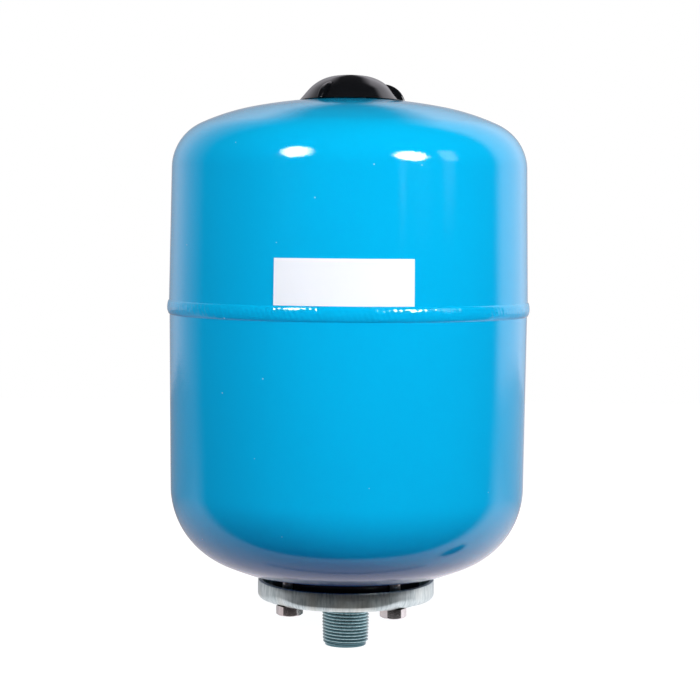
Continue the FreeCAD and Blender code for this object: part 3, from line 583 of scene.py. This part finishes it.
LABEL_ABOVE_BEAD = 0.3
LABEL_HEIGHT = 24.7
LABEL_WIDTH = 75.0
LABEL_ANGLE = -91.35
LABEL_GLUE = 0.1
LABEL_FILM = 0.2
LABEL_COLUMNS = 72
LABEL_ROWS = 8
label_low = bead_high + LABEL_ABOVE_BEAD


def label_mesh():
    """A film that follows the wall, thick enough for its edge to catch the light."""
    mesh = bpy.data.meshes.new("label")
    bm = bmesh.new()
    columns, rows = LABEL_COLUMNS, LABEL_ROWS
    span = LABEL_WIDTH / upper_wall(label_low)
    middle = math.radians(LABEL_ANGLE)

    def place(column, row, stand):
        height = label_low + LABEL_HEIGHT * row / rows
        angle = middle - span / 2 + span * column / columns
        radius = upper_wall(height) + stand
        return Vector((radius * math.cos(angle), radius * math.sin(angle), height)) * MM

    back, front = [[[bm.verts.new(place(c, r, stand)) for c in range(columns + 1)] for r in range(rows + 1)]
                   for stand in (LABEL_GLUE, LABEL_GLUE + LABEL_FILM)]
    for r in range(rows):
        for c in range(columns):
            bm.faces.new((front[r][c], front[r][c + 1], front[r + 1][c + 1], front[r + 1][c]))
            bm.faces.new((back[r][c], back[r + 1][c], back[r + 1][c + 1], back[r][c + 1]))
    edge = [(0, c) for c in range(columns + 1)] + [(r, columns) for r in range(1, rows + 1)]
    edge += [(rows, c) for c in range(columns - 1, -1, -1)] + [(r, 0) for r in range(rows - 1, 0, -1)]
    for (r, c), (s, d) in zip(edge, edge[1:] + edge[:1]):
        bm.faces.new((back[r][c], back[s][d], front[s][d], front[r][c]))
    bm.to_mesh(mesh)
    bm.free()
    smooth(mesh)
    return mesh


label = shown(label_mesh(), "bare_label", label_film)
finished(label, "tank", "label_film", "label")


# Nipple with its thread, cut by Geometry Nodes

INCH = 25.4
NIPPLE_BORE = 10.45
NIPPLE_CREST = 13.335
NIPPLE_END = 12.9
NIPPLE_TAPER = 12.0
NIPPLE_TOP = 32.3
NIPPLE_SPIGOT = 12.9
NIPPLE_RELIEF = 0.8
NIPPLE_FACE = 11.7
NIPPLE_CHAMFER = 0.6
FLANGE_BOTTOM = 27.2
THREAD_PITCH = INCH / 14
THREAD_DEPTH = 1.16
THREAD_START = 0.9
THREAD_TURNS = 13.7
FIRST_ROOT_STANDS_OUT = 0.1


def thread_tree():
    """Winds a ridge round a turned blank: a helix that tapers towards its start, with its ends run out."""
    tree, given, out = new_geometry_tree("wound_thread", {
        "Root radius": "NodeSocketFloat",
        "Depth": "NodeSocketFloat",
        "Foot width": "NodeSocketFloat",
        "Crest width": "NodeSocketFloat",
        "Start height": "NodeSocketFloat",
        "Length": "NodeSocketFloat",
        "Turns": "NodeSocketFloat",
        "Run-out turns": "NodeSocketFloat",
        "Taper end height": "NodeSocketFloat",
        "Taper inset": "NodeSocketFloat",
        "Material": "NodeSocketMaterial",
    })
    helix = add(tree, "GeometryNodeCurveSpiral", {
        "Resolution": 72,
        "Rotations": (given, "Turns"),
        "Start Radius": (given, "Root radius"),
        "End Radius": (given, "Root radius"),
        "Height": (given, "Length"),
    })
    lift = add(tree, COMBINE, {"Z": (given, "Start height")})
    placed = add(tree, "GeometryNodeTransform", {"Geometry": helix, "Translation": lift})
    upright = add(tree, "GeometryNodeSetCurveNormal", {"Curve": placed}, mode="Z_UP")
    along = add(tree, "GeometryNodeSplineParameter")
    before_end = add(tree, MATH, {0: 1.0, 1: (along, "Factor")}, operation="SUBTRACT")
    nearer = add(tree, MATH, {0: (along, "Factor"), 1: before_end}, operation="MINIMUM")
    turns_away = add(tree, MATH, {0: nearer, 1: (given, "Turns")}, operation="MULTIPLY")
    full = add(tree, RANGE, {"Value": turns_away, "From Max": (given, "Run-out turns"), "To Min": 0.05})
    section = add(tree, "GeometryNodeCurvePrimitiveQuadrilateral", {
        "Height": (given, "Depth"),
        "Bottom Width": (given, "Foot width"),
        "Top Width": (given, "Crest width"),
        "Offset": 0.0,
    }, mode="TRAPEZOID")
    half = add(tree, MATH, {0: (given, "Depth"), 1: -0.5}, operation="MULTIPLY")
    reach = add(tree, COMBINE, {"X": half})
    outward = add(tree, "GeometryNodeTransform", {"Geometry": section, "Translation": reach,
                                                  "Rotation": (0.0, 0.0, math.radians(90))})
    ridge = add(tree, "GeometryNodeCurveToMesh", {"Curve": upright, "Profile Curve": outward,
                                                  "Scale": full, "Fill Caps": True})
    split = add(tree, SPLIT, {0: add(tree, "GeometryNodeInputPosition")})
    inset = add(tree, RANGE, {"Value": (split, "Z"), "From Max": (given, "Taper end height"),
                              "To Min": (given, "Taper inset"), "To Max": 0.0})
    inward = add(tree, MATH, {0: inset, 1: -1.0}, operation="MULTIPLY")
    flat = add(tree, COMBINE, {"X": (split, "X"), "Y": (split, "Y")})
    away = add(tree, VECTOR_MATH, {0: flat}, operation="NORMALIZE")
    step = add(tree, VECTOR_MATH, {0: away, "Scale": inward}, operation="SCALE")
    tapered = add(tree, "GeometryNodeSetPosition", {"Geometry": ridge, "Offset": step})
    both = add(tree, "GeometryNodeJoinGeometry", {"Geometry": [tapered, (given, "Geometry")]})
    whole = add(tree, "GeometryNodeRealizeInstances", {"Geometry": both})
    painted = add(tree, "GeometryNodeSetMaterial", {"Geometry": whole, "Material": (given, "Material")})
    tree.links.new(painted.outputs[0], out.inputs[0])
    return tree


wound_thread = thread_tree()
nipple_outline = [
    (NIPPLE_BORE, 0.0),
    (NIPPLE_FACE, 0.0),
    (NIPPLE_END - THREAD_DEPTH + FIRST_ROOT_STANDS_OUT, NIPPLE_CHAMFER),
    (NIPPLE_CREST - THREAD_DEPTH, NIPPLE_TAPER),
    (NIPPLE_CREST - THREAD_DEPTH, FLANGE_BOTTOM - NIPPLE_RELIEF),
    (NIPPLE_SPIGOT, FLANGE_BOTTOM - NIPPLE_RELIEF),
    (NIPPLE_SPIGOT, NIPPLE_TOP),
    (NIPPLE_BORE, NIPPLE_TOP),
]
nipple = run_tree(lathe("nipple_blank", nipple_outline, 96), wound_thread, {
    "Root radius": (NIPPLE_CREST - THREAD_DEPTH) * MM,
    "Depth": THREAD_DEPTH * MM,
    "Foot width": 0.94 * THREAD_PITCH * MM,
    "Crest width": 0.16 * THREAD_PITCH * MM,
    "Start height": THREAD_START * MM,
    "Length": THREAD_TURNS * THREAD_PITCH * MM,
    "Turns": THREAD_TURNS,
    "Run-out turns": 0.6,
    "Taper end height": NIPPLE_TAPER * MM,
    "Taper inset": (NIPPLE_CREST - NIPPLE_END) * MM,
    "Material": zinc_thread,
}, "wound_nipple", zinc_thread)
finished(nipple, "tank", "zinc_thread", "threaded_nipple")


# Counterflange, pressed from sheet: its corner opens out beside each bolt, where the seat is pressed

FLANGE_RADIUS = 50.3
FLANGE_SHEET = 2.5
FLANGE_HEIGHT = 10.7
FLANGE_CORNER = 3.1
FLANGE_LIP = 0.45
LEAST_INNER_CORNER = 0.6
CORNER_OPENS = 2.6
CORNER_SPREAD = 13.0
WALL_BULGE = 0.12
BOLT_CIRCLE = 41.0
BOLT_ANGLES = [-49.9 + 90 * i for i in range(4)]
SEAT_PAD_RADIUS = 9.2
SEAT_PAD_DROP = 0.3
SEAT_PAD_BEND = 2.0
FLOOR_STEPS = 26
WALL_RINGS = 8


def flange_section(opening):
    """The flange's section where its corner is opened by a share from 0 to 1, anticlockwise."""
    corner = FLANGE_CORNER + CORNER_OPENS * opening
    hollow = FLANGE_RADIUS - FLANGE_SHEET
    inner_corner = max(corner - FLANGE_SHEET, LEAST_INNER_CORNER)
    inside = (hollow - inner_corner, FLANGE_BOTTOM + FLANGE_SHEET + inner_corner)
    foot = FLANGE_RADIUS - corner
    points = [(NIPPLE_SPIGOT + (foot - NIPPLE_SPIGOT) * i / FLOOR_STEPS, FLANGE_BOTTOM)
              for i in range(FLOOR_STEPS)]
    points += arc_points((foot, FLANGE_BOTTOM + corner), corner, -90, 0, 14)
    low, high = FLANGE_BOTTOM + corner, FLANGE_BOTTOM + FLANGE_HEIGHT - FLANGE_LIP
    for i in range(1, WALL_RINGS):
        share = i / WALL_RINGS
        inward = WALL_BULGE * (2 * share - 1) ** 2 * share
        points.append((FLANGE_RADIUS - inward, low + (high - low) * share))
    points += arc_points((FLANGE_RADIUS - FLANGE_LIP - WALL_BULGE, high), FLANGE_LIP, 0, 90, 5)
    points += arc_points((hollow + FLANGE_LIP, high), FLANGE_LIP, 90, 180, 5)
    points += arc_points(inside, inner_corner, 0, -90, 6)
    points += [(NIPPLE_SPIGOT, FLANGE_BOTTOM + FLANGE_SHEET)]
    return points


def flange_mesh(steps=360):
    """The flange turned with a section that changes round it, its pads pressed down at the bolts."""
    mesh = bpy.data.meshes.new("pressed_flange")
    bm = bmesh.new()
    rings = []
    for j in range(steps):
        angle = 360 * j / steps
        nearest = min(abs((angle - bolt + 180) % 360 - 180) for bolt in BOLT_ANGLES)
        section = flange_section(math.exp(-(nearest / CORNER_SPREAD) ** 2))
        ring = []
        for radius, height in section:
            away = math.hypot(radius * cosine(nearest) - BOLT_CIRCLE, radius * sine(nearest))
            pressed = min(max((SEAT_PAD_RADIUS + SEAT_PAD_BEND - away) / SEAT_PAD_BEND, 0), 1)
            pressed *= pressed * (3 - 2 * pressed)
            drop = SEAT_PAD_DROP * pressed if height < FLANGE_BOTTOM + FLANGE_SHEET / 2 else 0
            place = (radius * cosine(angle), radius * sine(angle), height - drop)
            ring.append(bm.verts.new(Vector(place) * MM))
        rings.append(ring)
    for ring, after in zip(rings, rings[1:] + rings[:1]):
        for i in range(len(ring)):
            k = (i + 1) % len(ring)
            bm.faces.new((ring[i], after[i], after[k], ring[k]))
    bm.to_mesh(mesh)
    bm.free()
    smooth(mesh)
    return mesh


finished(shown(flange_mesh(), "pressed_flange", zinc_plate), "tank", "zinc_plate", "counterflange")


# Valve body, turned from brass, with the fine thread of its stem

VALVE_HEIGHT = 24.8
SHANK_RADIUS = 4.8
SHANK_CHAMFER = 0.4
COLLAR_BELOW_MOUTH = 8.8
COLLAR_HEIGHT = 4.0
COLLAR_RADIUS = 7.0
COLLAR_EDGE = 0.3
COLLAR_CHAMFER = 0.5
STEM_RADIUS = 3.85
STEM_CHAMFER = 0.3
STEM_CHAMFER_HEIGHT = 0.5
STEM_PITCH = INCH / 32
STEM_THREAD_DEPTH = 0.42
STEM_THREAD_START = 0.5
STEM_TURNS = 4.6
CORE_BORE = 2.55
CORE_CHAMFER = 0.15
CORE_TUBE_LENGTH = 3.0
CORE_TAPER_LENGTH = 2.0
AIR_BORE = 2.2

stem_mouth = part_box("valve_body")[1][2] / MM
valve_foot = stem_mouth - VALVE_HEIGHT
collar_low = stem_mouth - COLLAR_BELOW_MOUTH
collar_high = collar_low + COLLAR_HEIGHT
core_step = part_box("core_barrel")[0][2] / MM + CORE_TUBE_LENGTH
stem_root = STEM_RADIUS - STEM_THREAD_DEPTH
valve_outline = [
    (AIR_BORE, valve_foot),
    (SHANK_RADIUS - SHANK_CHAMFER, valve_foot),
    (SHANK_RADIUS, valve_foot + SHANK_CHAMFER),
    (SHANK_RADIUS, collar_low),
    (COLLAR_RADIUS - COLLAR_EDGE, collar_low),
    (COLLAR_RADIUS, collar_low + COLLAR_EDGE),
    (COLLAR_RADIUS, collar_high - COLLAR_CHAMFER),
    (COLLAR_RADIUS - COLLAR_CHAMFER, collar_high),
    (stem_root, collar_high),
    (stem_root, stem_mouth - STEM_CHAMFER_HEIGHT),
    (stem_root - STEM_CHAMFER, stem_mouth),
    (CORE_BORE + CORE_CHAMFER, stem_mouth),
    (CORE_BORE, stem_mouth - CORE_CHAMFER),
    (CORE_BORE, core_step),
    (AIR_BORE, core_step - CORE_TAPER_LENGTH),
]
valve = run_tree(lathe("valve_blank", valve_outline, 72), wound_thread, {
    "Root radius": stem_root * MM,
    "Depth": STEM_THREAD_DEPTH * MM,
    "Foot width": 0.9 * STEM_PITCH * MM,
    "Crest width": 0.14 * STEM_PITCH * MM,
    "Start height": (collar_high + STEM_THREAD_START) * MM,
    "Length": STEM_TURNS * STEM_PITCH * MM,
    "Turns": STEM_TURNS,
    "Run-out turns": 0.4,
    "Taper end height": 1.0 * MM,
    "Taper inset": 0.0,
    "Material": turned_brass,
}, "threaded_valve", turned_brass)
finished(valve, "tank", "valve_brass", "valve_body")


# Pieces that keep the CAD's shape, joined and smoothed

for node, name, body, slot in (
    ("cover_cap", "ribbed_cap", "cap", "black_cap"),
    ("bladder", "moulded_bag", "tank", "black_rubber"),
    ("core_spring", "wound_spring", "tank", "spring_wire"),
):
    finished(shown(merged_copy(node), name, FINISHES[slot]), body, slot, node)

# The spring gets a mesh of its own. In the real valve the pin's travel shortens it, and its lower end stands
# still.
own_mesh(bpy.data.objects["wound_spring"])


# Camera, floor, sky and lamps

CAMERA_DISTANCE = 1131.6
CAMERA_PITCH = 3.466
CAMERA_SIDE = 1.14
CAMERA_AIM = 168.5
CAMERA_ROLL = 0.51
CAMERA_LENS = 102.48


def aimed(eye, target, roll=0.0):
    """A placing that looks from one point at another."""
    turn = (target - eye).to_track_quat("-Z", "Y").to_matrix().to_4x4()
    return Matrix.Translation(eye) @ turn @ Matrix.Rotation(math.radians(roll), 4, "Z")


camera_data = bpy.data.cameras.new("camera")
camera_data.sensor_width = 36.0
camera_data.lens = CAMERA_LENS
camera_data.clip_start = 0.05
camera = bpy.data.objects.new("camera", camera_data)
bpy.context.scene.collection.objects.link(camera)
camera.matrix_world = aimed(
    Vector((CAMERA_SIDE, -CAMERA_DISTANCE * cosine(CAMERA_PITCH),
            CAMERA_AIM + CAMERA_DISTANCE * sine(CAMERA_PITCH))) * MM,
    Vector((CAMERA_SIDE, 0, CAMERA_AIM)) * MM, CAMERA_ROLL)
bpy.context.scene.camera = camera


def lamp(name, side, height, away, size, level, aim=0.2, shape="ELLIPSE", diffuse=True, glossy=True):
    """An area lamp seen from the tank at an angle to the right of the label and up, in degrees. Its
    level is the light on a surface that faces it, or for a reflected lamp the brightness of its face."""
    data = bpy.data.lights.new(name, "AREA")
    data.shape = shape
    data.size, data.size_y = size
    area = size[0] * size[1] * (math.pi / 4 if shape == "ELLIPSE" else 1)
    data.energy = level * math.pi * area if glossy else level * (math.pi * away) ** 2
    target = Vector((0, 0, aim))
    eye = target + away * Vector((sine(side) * cosine(height), -cosine(side) * cosine(height), sine(height)))
    made = bpy.data.objects.new(name, data)
    bpy.context.scene.collection.objects.link(made)
    made.matrix_world = aimed(eye, target)
    made.visible_camera = False
    made.visible_diffuse = diffuse
    made.visible_glossy = glossy


lamp("key_right", 44, 17.4, 0.84, (0.4, 0.4), 0.68, glossy=False)
lamp("key_left", -35, 17.4, 0.84, (0.4, 0.4), 0.44, glossy=False)
lamp("spot_right", 39, 18.5, 1.5, (0.52, 0.46), 32.0, aim=0.28, diffuse=False)
lamp("spot_left", -34.7, 25.5, 1.5, (0.46, 0.56), 27.0, aim=0.28, diffuse=False)
lamp("panel_right", 65.5, 19, 1.5, (0.27, 0.44), 2.6, aim=0.28, shape="RECTANGLE", diffuse=False)
lamp("panel_right_low", 63.5, 7, 1.5, (0.2, 0.3), 0.5, aim=0.28, shape="RECTANGLE", diffuse=False)
lamp("stand_right", 32.5, 7, 1.5, (0.05, 0.3), 1.0, aim=0.28, shape="RECTANGLE", diffuse=False)

# The room that gloss mirrors: dark in front, a pale backdrop behind that is dim in its middle and
# dark above, brighter to the right. The camera and clear things see plain white.
FRONT_GLOOM = 0.05
sky = bpy.data.worlds.new("studio")
bpy.context.scene.world = sky
sky.use_nodes = True
tree = sky.node_tree
tree.nodes.clear()
way = add(tree, SPLIT, {0: (add(tree, "ShaderNodeTexCoord"), "Generated")})
across = add(tree, MATH, {0: (way, "X")}, operation="ABSOLUTE")
edge_fades = add(tree, RANGE, {"Value": (way, "X"), "From Min": -0.2, "From Max": 0.2,
                               "To Min": 0.70, "To Max": 0.40})
below = add(tree, MATH, {0: (way, "Z"), 1: 0.0}, operation="MINIMUM")
leaning = add(tree, MATH, {0: below, 1: 0.15, 2: (way, "Y")}, operation="MULTIPLY_ADD")
behind = add(tree, RANGE, {"Value": leaning, "From Min": 0.26, "From Max": edge_fades})
strength = add(tree, RANGE, {"Value": (way, "X"), "From Min": -0.4, "From Max": 0.4,
                             "To Min": 0.88, "To Max": 1.40})
far_dims = add(tree, RANGE, {"Value": (way, "Y"), "From Min": 0.82, "From Max": 0.96,
                             "To Min": 1.0, "To Max": 0.43})
middle_from = add(tree, RANGE, {"Value": (way, "Z"), "From Min": 0.42, "From Max": 0.95,
                                "To Min": 0.005, "To Max": 0.21})
middle_width = add(tree, RANGE, {"Value": (way, "Z"), "From Min": 0.30, "From Max": 0.85,
                                 "To Min": 0.012, "To Max": 0.20})
middle_to = add(tree, MATH, {0: middle_from, 1: middle_width}, operation="ADD")
below_horizon = add(tree, RANGE, {"Value": (way, "Z"), "From Min": 0.0, "From Max": 0.06,
                                  "To Min": 1.0, "To Max": 0.0})
middle = add(tree, RANGE, {"Value": across, "From Min": middle_from, "From Max": middle_to,
                           "To Min": below_horizon})
overhead = add(tree, RANGE, {"Value": (way, "Z"), "From Min": 0.80, "From Max": 0.95,
                             "To Min": 1.0, "To Max": 0.0})
pale = behind
for share in (strength, far_dims, middle, overhead):
    pale = add(tree, MATH, {0: pale, 1: share}, operation="MULTIPLY")
level = add(tree, MATH, {0: pale, 1: FRONT_GLOOM}, operation="ADD")
room = add(tree, "ShaderNodeBackground", {"Color": "#f6f3fb", "Strength": level})
soft = add(tree, "ShaderNodeBackground", {"Color": "#959aa1", "Strength": 1.0})
white = add(tree, "ShaderNodeBackground", {"Color": "#ffffff", "Strength": 1.0})
ray = add(tree, "ShaderNodeLightPath")
clear = add(tree, MATH, {0: (ray, "Is Camera Ray"), 1: (ray, "Is Transmission Ray")}, operation="MAXIMUM")
mirrored = add(tree, "ShaderNodeMixShader", {0: (ray, "Is Glossy Ray"), 1: soft, 2: room})
seen = add(tree, "ShaderNodeMixShader", {0: clear, 1: mirrored, 2: white})
add(tree, "ShaderNodeOutputWorld", {"Surface": seen})

# The floor: gloss mirrors a pale sheet under and behind the tank, whose front edge bends round it
# from 0.1 m in front, with a thin fold in it and one dark spot on the right.
FLOOR_REACH = 1.6
floor_mesh = bpy.data.meshes.new("floor")
floor_mesh.from_pydata([(x * FLOOR_REACH, y * FLOOR_REACH, 0)
                        for x, y in ((-1, -1), (1, -1), (1, 1), (-1, 1))], [], [(0, 1, 2, 3)])
floor_paint = bpy.data.materials.new("plain_white_floor")
floor_paint.use_nodes = True
tree = floor_paint.node_tree
tree.nodes.clear()
own = add(tree, "ShaderNodeTexCoord")
spot = add(tree, SPLIT, {0: (own, "Object")})
across = add(tree, MATH, {0: (spot, "X")}, operation="ABSOLUTE")
squared = add(tree, MATH, {0: (spot, "X"), 1: (spot, "X")}, operation="MULTIPLY")
bend = add(tree, MATH, {0: squared, 1: 0.16, 2: 0.0009}, operation="MULTIPLY_ADD")
runs_back = add(tree, MATH, {0: bend}, operation="SQRT")
edge = add(tree, MATH, {0: runs_back, 1: 0.130}, operation="SUBTRACT")
beyond = add(tree, MATH, {0: across, 1: 0.1}, operation="SUBTRACT", use_clamp=True)
fade = add(tree, MATH, {0: beyond, 1: 0.12, 2: 0.002}, operation="MULTIPLY_ADD")
edge_front = add(tree, MATH, {0: edge, 1: fade}, operation="SUBTRACT")
edge_back = add(tree, MATH, {0: edge, 1: fade}, operation="ADD")
sheet = add(tree, RANGE, {"Value": (spot, "Y"), "From Min": edge_front, "From Max": edge_back})
strength = add(tree, RANGE, {"Value": (spot, "X"), "From Min": -0.14, "From Max": 0.16,
                             "To Min": 0.66, "To Max": 1.25})
near_tank = add(tree, RANGE, {"Value": (spot, "Y"), "From Min": -0.075, "From Max": -0.045,
                              "To Min": 1.0, "To Max": 1.22})
far_behind = add(tree, RANGE, {"Value": (spot, "Y"), "From Min": 0.02, "From Max": 0.35,
                               "To Min": 1.0, "To Max": 0.4})
fold_line = add(tree, MATH, {0: squared, 1: 2.5, 2: -0.060}, operation="MULTIPLY_ADD")
from_fold = add(tree, MATH, {0: (spot, "Y"), 1: fold_line}, operation="SUBTRACT")
off_fold = add(tree, MATH, {0: from_fold}, operation="ABSOLUTE")
near_fold = add(tree, RANGE, {"Value": off_fold, "From Min": 0.0012, "From Max": 0.0035,
                              "To Min": 0.5, "To Max": 1.0})
past_fold = add(tree, RANGE, {"Value": across, "From Min": 0.062, "From Max": 0.070})
fold = add(tree, MATH, {0: near_fold, 1: past_fold}, operation="MAXIMUM")
on_leaf = add(tree, "ShaderNodeMapping", {"Vector": (own, "Object"), "Location": (0.114, -0.046, 0),
                                         "Rotation": (0, 0, math.radians(25)),
                                         "Scale": (0.026, 0.010, 1)}, vector_type="TEXTURE")
leaf_away = add(tree, VECTOR_MATH, {0: on_leaf}, operation="LENGTH")
leaf = add(tree, RANGE, {"Value": (leaf_away, "Value"), "From Min": 0.8, "From Max": 1.0})
pale = sheet
for share in (strength, near_tank, far_behind, fold, leaf):
    pale = add(tree, MATH, {0: pale, 1: share}, operation="MULTIPLY")
level = add(tree, MATH, {0: pale, 1: FRONT_GLOOM}, operation="ADD")
mirrored = add(tree, "ShaderNodeEmission", {"Color": "#f6f3fb", "Strength": level})
lit = add(tree, "ShaderNodeBsdfDiffuse", {"Color": "#959595"})
glow = add(tree, "ShaderNodeEmission", {"Color": "#ffffff", "Strength": 0.93})
bright = add(tree, "ShaderNodeAddShader", {0: lit, 1: glow})
bounce = add(tree, "ShaderNodeBsdfDiffuse", {"Color": "#0c3679"})
ray = add(tree, "ShaderNodeLightPath")
clear = add(tree, MATH, {0: (ray, "Is Camera Ray"), 1: (ray, "Is Transmission Ray")}, operation="MAXIMUM")
other = add(tree, "ShaderNodeMixShader", {0: (ray, "Is Glossy Ray"), 1: bounce, 2: mirrored})
seen = add(tree, "ShaderNodeMixShader", {0: clear, 1: other, 2: bright})
add(tree, SURFACE, {"Surface": seen})
floor = shown(floor_mesh, "floor", floor_paint)

# A black card stood round the front keeps the key lamps' light off the underside.
CARD_RADIUS = 0.2
CARD_LOW = 0.001
CARD_HIGH = 0.115
CARD_START = -210
CARD_FOLD = 10
CARD_LEAVES = 24
card_points = []
for i in range(CARD_LEAVES + 1):
    angle = CARD_START + CARD_FOLD * i
    for height in (CARD_LOW, CARD_HIGH):
        card_points.append((CARD_RADIUS * cosine(angle), CARD_RADIUS * sine(angle), height))
card_mesh = bpy.data.meshes.new("black_card")
card_mesh.from_pydata(card_points, [], [(2 * i, 2 * i + 2, 2 * i + 3, 2 * i + 1) for i in range(CARD_LEAVES)])
card_paint = bpy.data.materials.new("matt_black_card")
card_paint.use_nodes = True
card_paint.node_tree.nodes.clear()
matt = add(card_paint.node_tree, "ShaderNodeBsdfDiffuse", {"Color": "#101010"})
add(card_paint.node_tree, SURFACE, {"Surface": matt})
card = shown(card_mesh, "black_card", card_paint)
card.visible_camera = card.visible_glossy = card.visible_diffuse = False

bpy.context.scene.view_settings.view_transform = "Standard"
